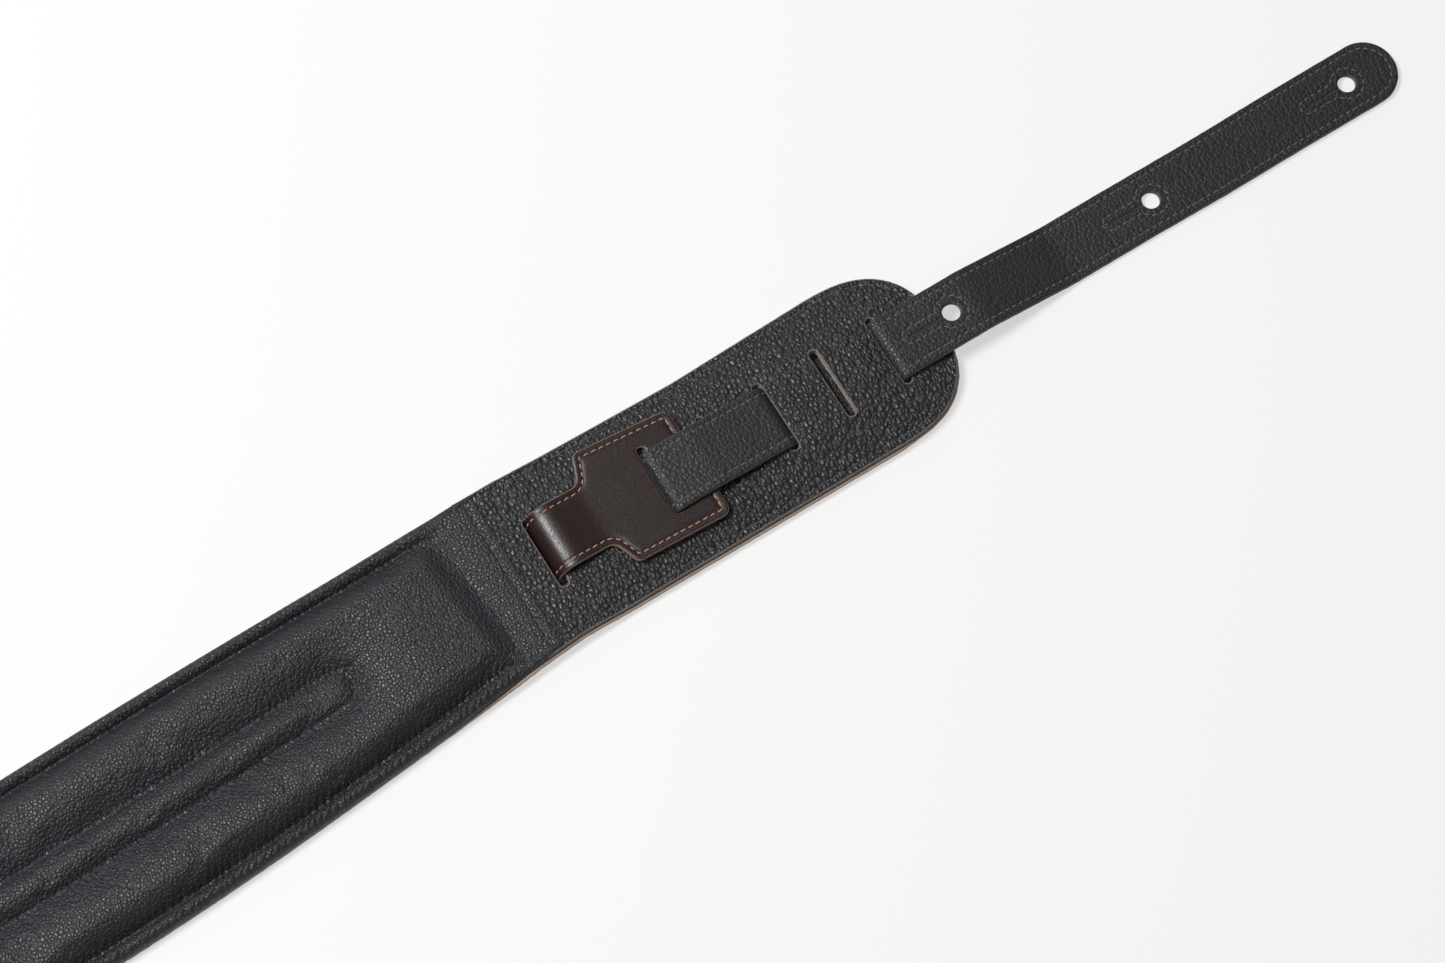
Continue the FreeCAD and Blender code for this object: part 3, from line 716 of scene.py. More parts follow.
class Strap:
    """The woven strap's path, and the places on it."""

    def __init__(self):
        self.s, self.x, self.z = strap_path()
        self.length = self.s[-1]
        step = self.s[1] - self.s[0]
        self.tx, self.tz = np.gradient(self.x, step), np.gradient(self.z, step)
        self.fold = int(np.argmin(self.x[: len(self.x) // 3]))
        self.last = int(np.flatnonzero(self.x < last_slot() + 5)[-1])

    def tab(self, x):
        """Distance along the path of a place on the tab."""
        return float(np.interp(-x, -self.x[:self.fold], self.s[:self.fold]))

    def tail(self, x):
        """Distance along the path of a place on the tail."""
        return float(np.interp(x, self.x[self.last:], self.s[self.last:]))

    def drift(self, u):
        """Sideways place of the strap's centre line: the tab lies a little askew."""
        return np.interp(u, [0, 34, 62, 78, 110, self.length], [-0.2, 2.1, 1.8, 0.4, -0.3, -0.2])

    def place(self, u, v, h):
        """Point at u along the path and v across it, raised by h from the path."""
        x, z = np.interp(u, self.s, self.x), np.interp(u, self.s, self.z)
        tx, tz = np.interp(u, self.s, self.tx), np.interp(u, self.s, self.tz)
        size = np.hypot(tx, tz)
        wave = 0.16 * noise(u, v, 28, 21) * smooth((u - 180) / 30)
        y = Y_AXIS + v + self.drift(u) + 0.25 * noise(u, 0 * u, 40, 22) * smooth((u - 250) / 40)
        return np.stack([x - tz / size * h, y, z + tx / size * h + np.maximum(wave, -0.05)], -1)

    def plan(self, inset=0.0):
        """The strap's outline along its path: tab, shoulders, neck, woven part and tail with a round tip."""
        reach = self.tab(slot_place(0) + sizes().neck_length * 1000)
        shoulder = reach - 4.0
        wide, narrow = TAB_HALF, TAIL_HALF
        corners = [(0, -wide + 0.9), (shoulder, -wide), (reach, -narrow), (0.75 * self.length, -narrow + 0.35),
                   (self.length - 30, -narrow), (self.length, -narrow), (self.length, narrow),
                   (self.length - 30, narrow), (0.75 * self.length, narrow - 0.35), (reach, narrow),
                   (shoulder, wide), (0, wide - 0.9)]
        tip = narrow * 0.985
        radii = [3.4, 2.6, 3.8, 0, 0, tip, tip, 0, 0, 3.8, 2.6, 3.4]
        return outline(corners, radii, inset, 1.1)

    def holes(self):
        s = sizes()
        return [self.tail(TIP - 1000 * (s.hole_to_tip + s.hole_pitch * k)) for k in range(3)]


# ---------------------------------------------------------------- materials

def group_tree(name, inputs, outputs):
    """A new shader node group, or None and the old one if it is there already."""
    old = bpy.data.node_groups.get(name)
    if old:
        return None, old
    tree = bpy.data.node_groups.new(name, "ShaderNodeTree")
    for key, kind, default in inputs:
        socket = tree.interface.new_socket(key, in_out="INPUT", socket_type=kind)
        socket.default_value = default
    for key, kind in outputs:
        tree.interface.new_socket(key, in_out="OUTPUT", socket_type=kind)
    return tree, tree


def add(tree, kind, **settings):
    """A node; keys that name an input set its value or link it to a socket, others set the node's own fields."""
    node = tree.nodes.new(kind)
    links = settings.pop("links", {})
    for key, value in settings.items():
        setattr(node, key, value)
    for key, value in links.items():
        socket = node.inputs[key]
        if isinstance(value, bpy.types.NodeSocket):
            tree.links.new(value, socket)
        else:
            socket.default_value = value
    return node


def maths(tree, operation, a, b=0.0, c=0.0):
    node = add(tree, "ShaderNodeMath", operation=operation, links={0: a, 1: b, 2: c})
    return node.outputs[0]


def mixed(tree, factor, a, b):
    """Colour mix of a and b by the factor."""
    node = add(tree, "ShaderNodeMix", data_type="RGBA")
    for socket, value in ((node.inputs[0], factor), (node.inputs[6], a), (node.inputs[7], b)):
        if isinstance(value, bpy.types.NodeSocket):
            tree.links.new(value, socket)
        elif isinstance(value, (int, float)):
            socket.default_value = value
        else:
            socket.default_value = (*value, 1.0)
    return node.outputs[2]


def vectors(tree, operation, a, b):
    return add(tree, "ShaderNodeVectorMath", operation=operation, links={0: a, 1: b}).outputs[0]


def object_place(tree):
    return add(tree, "ShaderNodeTexCoord").outputs["Object"]


def cloud(tree, where, scale, detail, output=0, **more):
    """Noise with so many cells to a metre and so many finer layers."""
    links = {"Vector": where, "Scale": scale, "Detail": detail, **more}
    return add(tree, "ShaderNodeTexNoise", links=links).outputs[output]


def gentle_step(tree, value, low, high):
    """A gentle step from 0 at low to 1 at high."""
    return add(tree, "ShaderNodeMapRange", interpolation_type="SMOOTHSTEP",
               links={"Value": value, "From Min": low, "From Max": high}).outputs[0]


def new_material(name, inputs):
    """A new material with one shader, whose inputs are given: the material, its tree and the shader."""
    material = bpy.data.materials.new(name)
    material.use_nodes = True
    tree = material.node_tree
    tree.nodes.clear()
    out = add(tree, "ShaderNodeOutputMaterial")
    shader = add(tree, "ShaderNodeBsdfPrincipled", links=inputs)
    tree.links.new(shader.outputs[0], out.inputs[0])
    return material, tree, shader


def grain_group():
    """Leather grain: rounded cells between creases, warped by noise, with finer wrinkles and a slow mottle."""
    tree, group = group_tree("Leather grain", [("Cell size", "NodeSocketFloat", 0.0018),
                                               ("Stretch", "NodeSocketFloat", 1.0),
                                               ("Warp", "NodeSocketFloat", 0.4)],
                             [("Height", "NodeSocketFloat"), ("Crease", "NodeSocketFloat"),
                              ("Mottle", "NodeSocketFloat"), ("Fine", "NodeSocketFloat")])
    if tree is None:
        return group
    inside, outside = add(tree, "NodeGroupInput"), add(tree, "NodeGroupOutput")
    where = object_place(tree)
    scale = maths(tree, "DIVIDE", 1.0, inside.outputs["Cell size"])
    stretch = add(tree, "ShaderNodeCombineXYZ", links={"X": inside.outputs["Stretch"], "Y": 1.0, "Z": 1.0})
    pulled = vectors(tree, "MULTIPLY", where, stretch.outputs[0])
    wander = cloud(tree, where, maths(tree, "MULTIPLY", scale, 0.6), 2.0, "Color")
    centred = vectors(tree, "SUBTRACT", wander, (0.5, 0.5, 0.5))
    amount = maths(tree, "MULTIPLY", inside.outputs["Cell size"], inside.outputs["Warp"])
    push = add(tree, "ShaderNodeVectorMath", operation="SCALE", links={0: centred, "Scale": amount}).outputs[0]
    warped = vectors(tree, "ADD", pulled, push)
    cell = {"Vector": warped, "Scale": scale, "Randomness": 0.95}
    to_edge = add(tree, "ShaderNodeTexVoronoi", feature="DISTANCE_TO_EDGE", links=cell).outputs["Distance"]
    plateau = gentle_step(tree, to_edge, 0.0, 0.26)
    crown = add(tree, "ShaderNodeTexVoronoi", feature="F1", links=cell).outputs["Distance"]
    fine = cloud(tree, where, maths(tree, "MULTIPLY", scale, 3.2), 3.0, Roughness=0.6)
    dome = maths(tree, "MULTIPLY_ADD", maths(tree, "MULTIPLY", crown, crown), -0.7, 1.0)
    height = maths(tree, "MULTIPLY_ADD", plateau, 0.3, dome)
    height = maths(tree, "MULTIPLY_ADD", fine, 0.12, height)
    mottle = cloud(tree, where, 38.0, 3.0)
    tree.links.new(height, outside.inputs["Height"])
    tree.links.new(maths(tree, "SUBTRACT", 1.0, plateau), outside.inputs["Crease"])
    tree.links.new(mottle, outside.inputs["Mottle"])
    tree.links.new(fine, outside.inputs["Fine"])
    return group


def suede_group():
    """Raw cut edge: a mask from the attribute cut_edge, broken by noise, with fibres that run along the cut."""
    tree, group = group_tree("Raw cut edge", [("Start", "NodeSocketFloat", 0.45)],
                             [("Mask", "NodeSocketFloat"), ("Fibres", "NodeSocketFloat")])
    if tree is None:
        return group
    inside, outside = add(tree, "NodeGroupInput"), add(tree, "NodeGroupOutput")
    where = object_place(tree)
    edge = add(tree, "ShaderNodeAttribute", attribute_name="cut_edge").outputs["Fac"]
    rough = cloud(tree, where, 900.0, 3.0)
    broken = maths(tree, "MULTIPLY_ADD", rough, 0.35, maths(tree, "SUBTRACT", edge, 0.175))
    high = maths(tree, "ADD", inside.outputs["Start"], 0.16)
    mask = gentle_step(tree, broken, inside.outputs["Start"], high)
    fibres = cloud(tree, where, 2200.0, 4.0, Roughness=0.7)
    tree.links.new(mask, outside.inputs["Mask"])
    tree.links.new(fibres, outside.inputs["Fibres"])
    return group


def leather_material(name, base, cell, depth, rough, crease_shade=0.45, stretch=1.0, warp=0.5, edge=None, sheen=0.0,
                     edge_start=0.45, specular=0.5, mottle=0.35):
    """Leather with its own grain, duller in the creases and darker there by painted shade, and a raw suede cut
    edge.
    """
    old = bpy.data.materials.get(name)
    if old:
        return old
    material, tree, shader = new_material(name, {"Specular IOR Level": specular, "Sheen Weight": sheen,
                                                 "Sheen Roughness": 0.45})
    grain = add(tree, "ShaderNodeGroup", node_tree=grain_group(),
                links={"Cell size": cell, "Stretch": stretch, "Warp": warp})
    suede = add(tree, "ShaderNodeGroup", node_tree=suede_group(), links={"Start": edge_start})
    mask, fibres = suede.outputs["Mask"], suede.outputs["Fibres"]
    # Painted shade: the grain's creases are mixed towards a third of the base colour, by the given strength.
    crease_shade_colour = tuple(0.35 * c for c in base)
    light = tuple(min(1.0, (1 + mottle) * c) for c in base)
    pale = tuple((1 - 0.6 * mottle) * c for c in base)
    surface = mixed(tree, grain.outputs["Mottle"], pale, light)
    surface = mixed(tree, maths(tree, "MULTIPLY", grain.outputs["Crease"], crease_shade), surface, crease_shade_colour)
    raw = tuple(colours().cut_edge) if edge is None else edge
    suede_colour = mixed(tree, fibres, tuple(0.35 * c for c in raw), tuple(min(1.0, 1.5 * c) for c in raw))
    tree.links.new(mixed(tree, mask, surface, suede_colour), shader.inputs["Base Color"])
    dull = maths(tree, "MULTIPLY_ADD", grain.outputs["Crease"], 0.22, rough)
    dull = maths(tree, "MULTIPLY_ADD", grain.outputs["Fine"], 0.12, maths(tree, "SUBTRACT", dull, 0.06))
    dull = maths(tree, "MULTIPLY_ADD", mask, 0.4, dull)
    tree.links.new(maths(tree, "MINIMUM", dull, 0.97), shader.inputs["Roughness"])
    smooth_part = maths(tree, "MULTIPLY", grain.outputs["Height"], maths(tree, "SUBTRACT", 1.0, mask))
    height = maths(tree, "MULTIPLY_ADD", maths(tree, "MULTIPLY", fibres, mask), 1.6, smooth_part)
    bump = add(tree, "ShaderNodeBump", links={"Height": height, "Distance": depth, "Strength": 1.0})
    tree.links.new(bump.outputs[0], shader.inputs["Normal"])
    return material


def thread_material(name, base, rough=0.55):
    """Twisted thread: fine ridges wind round each stitch by the attribute twist, as bumps and as painted shade,
    lighter on the ridges and darker in the grooves, with a random fuzz of tone.
    """
    old = bpy.data.materials.get(name)
    if old:
        return old
    material, tree, shader = new_material(name, {"Sheen Weight": 0.15})
    twist = add(tree, "ShaderNodeAttribute", attribute_name="twist").outputs["Fac"]
    ridge = maths(tree, "MULTIPLY_ADD", maths(tree, "SINE", maths(tree, "MULTIPLY", twist, 2.0)), 0.5, 0.5)
    where = object_place(tree)
    fuzz = cloud(tree, where, 1500.0, 3.0)
    # Painted shade and highlight along the twist, mixed with random fuzz of tone; the same value is the bump's
    # height.
    twist_shade_and_fuzz = maths(tree, "MULTIPLY_ADD", ridge, 0.6, maths(tree, "MULTIPLY", fuzz, 0.4))
    tint = mixed(tree, twist_shade_and_fuzz, tuple(0.55 * c for c in base), tuple(min(1.0, 1.25 * c) for c in base))
    tree.links.new(tint, shader.inputs["Base Color"])
    tree.links.new(maths(tree, "MULTIPLY_ADD", fuzz, 0.2, rough), shader.inputs["Roughness"])
    bump = add(tree, "ShaderNodeBump", links={"Height": twist_shade_and_fuzz, "Distance": 0.00012, "Strength": 1.0})
    tree.links.new(bump.outputs[0], shader.inputs["Normal"])
    return material


def cover_leather():
    return leather_material("Cover leather", tuple(colours().cover), 0.0013, 0.00034, 0.41, crease_shade=0.5,
                            stretch=1.15, warp=0.9, sheen=0.02, specular=0.5, mottle=0.25,
                            edge=(0.07, 0.068, 0.068))


def grained_leather():
    return leather_material("Grained leather", tuple(colours().grained), 0.0022, 0.00074, 0.40, crease_shade=0.6,
                            stretch=1.45, warp=0.75, edge=(0.24, 0.21, 0.19), edge_start=0.34, specular=0.62)


def lining_leather():
    return leather_material("Tail lining leather", tuple(colours().tail_lining), 0.0016, 0.00025, 0.43, crease_shade=0.4,
                            warp=0.9, edge=(0.09, 0.085, 0.08), edge_start=0.55, specular=0.45)


def face_leather():
    return leather_material("Face leather", tuple(colours().face), 0.0006, 0.00003, 0.23, crease_shade=0.2, warp=0.8,
                            edge=(0.20, 0.135, 0.105), edge_start=0.4, specular=0.4, mottle=0.18)


def base_leather():
    return leather_material("Base leather", tuple(colours().face), 0.0006, 0.00004, 0.36, crease_shade=0.2, warp=0.8,
                            edge=tuple(colours().cut_edge), edge_start=0.4, specular=0.5, mottle=0.18)


def black_thread():
    return thread_material("Black thread", tuple(colours().black_thread))


def pad_thread():
    return thread_material("Pad thread", tuple(0.22 * c for c in colours().black_thread))


def tail_thread():
    return thread_material("Tail thread", tuple(1.6 * c for c in colours().black_thread))


def tan_thread():
    return thread_material("Tan thread", tuple(colours().tan_thread), 0.5)


# ---------------------------------------------------------------- the ends' shape

NOSE_REACH = 35.0       # length of the rear end's rounded nose
NOSE_POWER = 0.8        # 1 for an ellipse, less for a squarer nose
TONGUE_TAPER = 72.0     # distance over which the front end narrows to its tongue


def ladder_lift(x, y):
    """How far the rear end leaves its flat place. It arches over the strap beneath and droops at its free edge,
    by products of gentle steps, and wrinkles between two slots as a cosine."""
    v = y - Y_AXIS
    last = slot_place(6)
    over_strap = (0.9 * smooth((TAIL_HALF + 9 - np.abs(v)) / 12) * smooth((x - slot_place(4) - 1) / 7)
                  * smooth((last - 2 - x) / 9))
    over_neck = (0.5 * smooth((TAIL_HALF + 7 - np.abs(v)) / 10) * smooth((x - slot_place(0) + 2) / 6)
                 * smooth((slot_place(2) - x) / 8))
    edge = np.clip((np.abs(v) - TAIL_HALF - 2) / (END_HALF - TAIL_HALF - 2), 0, 1)
    nose = np.clip((x - last - 2) / (NOSE - last - 2), 0, 1)
    droop = -1.5 * smooth(edge) * smooth((x - REAR_FOLD - 4) / 25) - 0.9 * smooth(nose) * (1 - 0.5 * smooth(edge))
    past_slot = x - slot_place(4)
    bent = 0.16 * np.cos(2 * math.pi * (past_slot - 0.006 * v ** 2) / 3.4 + 0.9 * noise(x, y, 9, 31))
    wrinkles = bent * smooth((past_slot - 1.5) / 2) * smooth((slot_place(5) - 1 - x) / 9) * bell(v / 15)
    uneven = 0.18 * noise(x, y, 19, 32) * smooth((x - REAR_FOLD) / 15)
    return over_strap + over_neck + droop + wrinkles + uneven


def rear_place(height):
    """Placing for the rear end's leathers: flat in the pad, level in the end, raised by the pad's rise."""
    def place(u, v, h):
        free = smooth((u - REAR_FOLD) / 6)
        lift = ladder_lift(u, v) * free
        lift = lift + (rise(u) - Z_END_BOTTOM) * (1 - smooth((u - REAR_SEAM + 3) / 2))
        return np.stack([u, v, height + h + lift], -1)
    return place


def tongue_place(height):
    """Placing for the front end's leathers: level, with a slow wave past the fold."""
    def place(u, v, h):
        wave = 0.15 * noise(u, v, 26, 33) * smooth((FRONT_FOLD - u) / 12)
        return np.stack([u, v, height + h + np.maximum(wave, 0)], -1)
    return place


def ladder_outline(start, inset=0.0, step=1.2, spread=0.0):
    """The rear end with its round nose, from a place along the strap. In the pad it follows the pad's width.

    The nose is a superellipse. The base leather spreads a little past the lining, mostly on its lower side.
    """
    corner = NOSE - NOSE_REACH
    arc = np.linspace(-math.pi / 2, math.pi / 2, 33)[1:-1]
    nose = [(corner + NOSE_REACH * math.cos(a) ** NOSE_POWER,
             Y_AXIS + END_HALF * math.copysign(abs(math.sin(a)) ** NOSE_POWER, a)) for a in arc]
    inside = list(np.arange(start, REAR_SEAM - 3, 12.0))
    pad_part = [spread * float(smooth((x - REAR_SEAM + 70) / 60)) for x in inside]
    lower = [(x, float(bow(x) - half_width(x)) - more) for x, more in zip(inside, pad_part)]
    upper = [(x, float(bow(x) + half_width(x)) + 0.2 * more) for x, more in zip(inside[::-1], pad_part[::-1])]
    nose = [(x + 0.5 * spread, y + (0.5 * spread if y < Y_AXIS else 0.2 * spread) * (y - Y_AXIS) / END_HALF)
            for x, y in nose]
    waist = REAR_SEAM + 0.45 * (last_slot() - REAR_SEAM)
    low, high = Y_AXIS - END_HALF - spread, Y_AXIS + END_HALF + 0.2 * spread
    corners = lower + [(REAR_SEAM + 8, low + 0.3), (waist, low + 0.15), (corner, low)] + nose
    corners += [(corner, high), (waist + 12, high - 1.5), (REAR_SEAM + 8, high)] + upper
    radii = [0] * len(lower) + [0, 60, 0] + [0] * len(nose) + [0, 60, 0] + [0] * len(upper)
    return outline(corners, radii, inset, step)


def tongue_outline(start, inset=0.0, step=1.2):
    """The front end, which narrows in an S curve to a tongue with a round tip, up to a place in the pad."""
    half = (node_box("tongue_keyhole_stitching")[1][1] - node_box("tongue_keyhole_stitching")[0][1]) / 2 + 8.7
    inside = list(np.arange(start, FRONT_SEAM + 3, -12.0))
    pad_upper = [(x, float(bow(x) + half_width(x))) for x in inside]
    share = np.linspace(0, 1, 13)
    curve = [(FRONT_FOLD - TONGUE_TAPER * t, float(END_HALF + (half - END_HALF) * smooth(t))) for t in share]
    upper = pad_upper + [(x, Y_AXIS + w) for x, w in curve] + [(FRONT_TIP, Y_AXIS + half)]
    lower = [(FRONT_TIP, Y_AXIS - half)] + [(x, Y_AXIS - w) for x, w in reversed(curve)]
    lower += [(x, float(bow(x) - half_width(x))) for x in reversed(inside)]
    straight = [0] * (len(inside) + len(curve))
    radii = straight + [half * 0.99, half * 0.99] + straight
    return outline(upper + lower, radii, inset, step)


def ladder_slots():
    return [slot_outline(slot_place(k), Y_AXIS)[::-1] for k in range(7)]


def tongue_hole(grow=0.0):
    """The outline of the front end's button hole; grow moves it outwards."""
    return keyhole(FRONT_TIP + sizes().hole_to_tip * 1000, 1, grow) + np.array([0, Y_AXIS])


# ---------------------------------------------------------------- operators

SWELL_STEPS = 20        # steps of the cover's swelling
SWELL_LIMIT = 0.4       # the furthest that a point of the cover may move
FLOOR_HALF = 12000.0    # half the floor's side


def swell(x, q):
    """How far each point of the cover moves as the foam presses on it.

    The cover is a coarse sheet held at its stitching. A cloth simulation grows it a little and presses it
    outwards, so that it puffs and wrinkles between the stitched lines.
    """
    X, Q = np.meshgrid(x, q, indexing="ij")
    rest = pad_surface(X, Q, 0.0).reshape(-1, 3)
    i, j = np.meshgrid(np.arange(len(x) - 1), np.arange(len(q) - 1), indexing="ij")
    a = (i * len(q) + j).ravel()
    quads = np.stack([a, a + len(q), a + len(q) + 1, a + 1], 1)
    sheet = new_object("swell", rest, [quads], cover_leather())
    field = channel_field(rest[:, 0], rest[:, 1] - bow(rest[:, 0]))
    held = (np.abs(Q.ravel()) > 0.79) | (np.abs(field) < 1.3) | (seam_distance(rest[:, 0]) < 13)
    sheet.vertex_groups.new(name="held").add(np.flatnonzero(held).tolist(), 1.0, "REPLACE")
    cloth = sheet.modifiers.new("Swell", "CLOTH")
    for key, value in {"vertex_group_mass": "held", "use_pressure": True, "uniform_pressure_force": 4.0,
                       "shrink_min": -0.002, "tension_stiffness": 40, "compression_stiffness": 40,
                       "bending_stiffness": 8, "quality": 5}.items():
        setattr(cloth.settings, key, value)
    cloth.settings.effector_weights.gravity = 0
    cloth.point_cache.frame_end = SWELL_STEPS
    scene = bpy.context.scene
    for number in range(1, SWELL_STEPS + 1):
        scene.frame_set(number)
    result = sheet.evaluated_get(bpy.context.evaluated_depsgraph_get()).data
    found = np.empty(len(rest) * 3)
    result.vertices.foreach_get("co", found)
    moved = found.reshape(-1, 3) * 1000 - rest
    scene.frame_set(1)
    mesh = sheet.data
    bpy.data.objects.remove(sheet)
    bpy.data.meshes.remove(mesh)
    size = np.linalg.norm(moved, axis=1, keepdims=True)
    moved *= np.minimum(1.0, SWELL_LIMIT / np.maximum(size, 1e-9))
    return moved.reshape(len(x), len(q), 3)


class STRAP_OT_pad(bpy.types.Operator):
    """Builds the foam pad under its soft leather cover"""
    bl_idname = "strap.pad"
    bl_label = "Pad"

    def execute(self, context):
        rows = 2100
        x = np.linspace(FRONT_SEAM, REAR_SEAM, rows)
        inner = np.linspace(0, Q_HEM, 40)[:-1]
        q = np.concatenate([inner, Q_HEM + 0.2 * np.linspace(0, 1, 12)])
        q = np.concatenate([-q[::-1], q[1:]])
        X, Q = np.meshgrid(x, q, indexing="ij")
        top = pad_surface(X, Q)
        xs, qs = np.linspace(FRONT_SEAM, REAR_SEAM, 176), np.linspace(-Q_HEM, Q_HEM, 31)
        moved = swell(xs, qs)
        at_x = np.clip((X - xs[0]) / (xs[1] - xs[0]), 0, len(xs) - 1.001)
        at_q = np.clip((Q - qs[0]) / (qs[1] - qs[0]), 0, len(qs) - 1.001)
        i, j = at_x.astype(int), at_q.astype(int)
        fi, fj = smooth(at_x - i)[..., None], smooth(at_q - j)[..., None]
        top += ((moved[i, j] * (1 - fi) + moved[i + 1, j] * fi) * (1 - fj)
                + (moved[i, j + 1] * (1 - fi) + moved[i + 1, j + 1] * fi) * fj)
        share = np.linspace(1, -1, 8)[1:-1]
        under = np.stack([np.repeat(x[:, None], len(share), 1),
                          bow(x)[:, None] + share * half_width(x)[:, None] * 0.97,
                          np.repeat(base_top(x)[:, None], len(share), 1) + 0.02], -1)
        ring = np.concatenate([top, under], 1)
        m = ring.shape[1]
        i, j = np.meshgrid(np.arange(rows - 1), np.arange(m), indexing="ij")
        i, j = i.ravel(), j.ravel()
        nxt = (j + 1) % m
        quads = np.stack([i * m + j, (i + 1) * m + j, (i + 1) * m + nxt, i * m + nxt], 1)
        points = ring.reshape(-1, 3)
        front = np.arange(m)[None]
        rear = ((rows - 1) * m + np.arange(m))[::-1][None]
        edge = bell(seam_distance(points[:, 0]) / 0.4) * 0.85
        obj = new_object("pad_cover", points, [quads, front, rear], cover_leather(),
                         {"cut_edge": edge})
        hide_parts(*[f"{side}_{part}" for side in ("rear", "front")
                           for part in ("pad_foam", "pad_cover", "bend_foam", "bend_cover")])
        bend_with_shoulder(obj)
        return {"FINISHED"}


def bend_with_shoulder(obj):
    """Bakes the object's placing into its mesh."""
    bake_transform(obj)


def fold_with_rear_end(obj):
    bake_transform(obj)


def fold_with_front_end(obj):
    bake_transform(obj)


def bend_with_tail(obj):
    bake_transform(obj)


JOIN_REACH = 150.0      # from the pad's middle to where the base leather's pieces meet
REAR_JOIN = MIDDLE + JOIN_REACH
FRONT_JOIN = MIDDLE - JOIN_REACH
LINING_TUCK = 7.0       # how far each end's lining goes in under the cover


class STRAP_OT_base(bpy.types.Operator):
    """Builds the base leather, which runs the whole length under the pad and the end linings"""
    bl_idname = "strap.base_leather"
    bl_label = "Base leather"

    def execute(self, context):
        thick = sizes().base_thickness * 1000
        material = base_leather()
        rear = sheet_of_leather("base_leather_rear", ladder_outline(REAR_JOIN, spread=1.1), ladder_slots(), 0.0,
                                thick, rear_place(Z_END_BOTTOM), material, spacing=2.2,
                                joins=(REAR_JOIN,), raw=2.2, plain=7, seed=5)
        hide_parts("rear_pad_base_leather", "ladder_base_leather")
        fold_with_rear_end(rear)

        xs = np.linspace(FRONT_JOIN, REAR_JOIN, 26)
        lower = [(x, float(bow(x) - half_width(x))) for x in xs]
        upper = [(x, float(bow(x) + half_width(x))) for x in xs[::-1]]
        middle = sheet_of_leather("base_leather_middle", outline(lower + upper, [0] * 52, step=1.2), [], 0.0, thick,
                                  lambda u, v, h: np.stack([u, v, h + rise(u)], -1), material,
                                  spacing=2.6, joins=(FRONT_JOIN, REAR_JOIN), raw=1.0, seed=6)
        bend_with_shoulder(middle)

        front = sheet_of_leather("base_leather_front", tongue_outline(FRONT_JOIN), [tongue_hole()[::-1]], 0.0,
                                 thick, tongue_place(0.0), material, spacing=2.2, joins=(FRONT_JOIN,),
                                 raw=1.0, seed=7)
        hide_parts("front_pad_base_leather", "tongue_base_leather")
        fold_with_front_end(front)
        return {"FINISHED"}


class STRAP_OT_end_linings(bpy.types.Operator):
    """Builds the pebble-grained linings of both ends"""
    bl_idname = "strap.end_linings"
    bl_label = "End linings"

    def execute(self, context):
        thick = sizes().lining_thickness * 1000
        material = grained_leather()
        start = REAR_SEAM - LINING_TUCK
        rear = sheet_of_leather("ladder_lining_leather", ladder_outline(start), ladder_slots(), 0.0, thick,
                                rear_place(Z_END_MIDDLE), material, spacing=1.5, dent=0.24,
                                joins=(start,), raw=0.8, plain=7, seed=8)
        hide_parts("ladder_lining", "rear_pad_lining_tuck")
        fold_with_rear_end(rear)

        start = FRONT_SEAM + LINING_TUCK
        front = sheet_of_leather("tongue_lining_leather", tongue_outline(start), [tongue_hole()[::-1]], 0.0, thick,
                                 tongue_place(Z_TONGUE_TOP - thick), material, spacing=1.7,
                                 dent=0.24, joins=(start,), raw=0.5, seed=9)
        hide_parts("tongue_lining", "front_pad_lining_tuck")
        fold_with_front_end(front)
        return {"FINISHED"}


class STRAP_OT_woven_strap(bpy.types.Operator):
    """Builds the tab, the woven strap and the tail, in a brown face leather and a black lining"""
    bl_idname = "strap.woven_strap"
    bl_label = "Tab and tail"

    def execute(self, context):
        s = sizes()
        strap = Strap()
        slot = slot_outline(strap.tab(slot_place(2)))[::-1]
        holes = [slot] + [keyhole(u, -1)[::-1] for u in strap.holes()]
        face = sheet_of_leather("strap_face", strap.plan(), holes, -s.face_thickness * 1000, 0.0, strap.place,
                                face_leather(), spacing=1.5, raw=0.45, plain=1, seed=10)
        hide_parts("tab_face", "tail_face")
        bend_with_tail(face)
        lining = sheet_of_leather("strap_lining", strap.plan(0.06), holes, 0.0, s.tail_lining_thickness * 1000,
                                  strap.place, lining_leather(), spacing=1.5, dent=0.14,
                                  plain=1, seed=11)
        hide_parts("tab_lining", "tail_lining")
        bend_with_tail(lining)
        return {"FINISHED"}


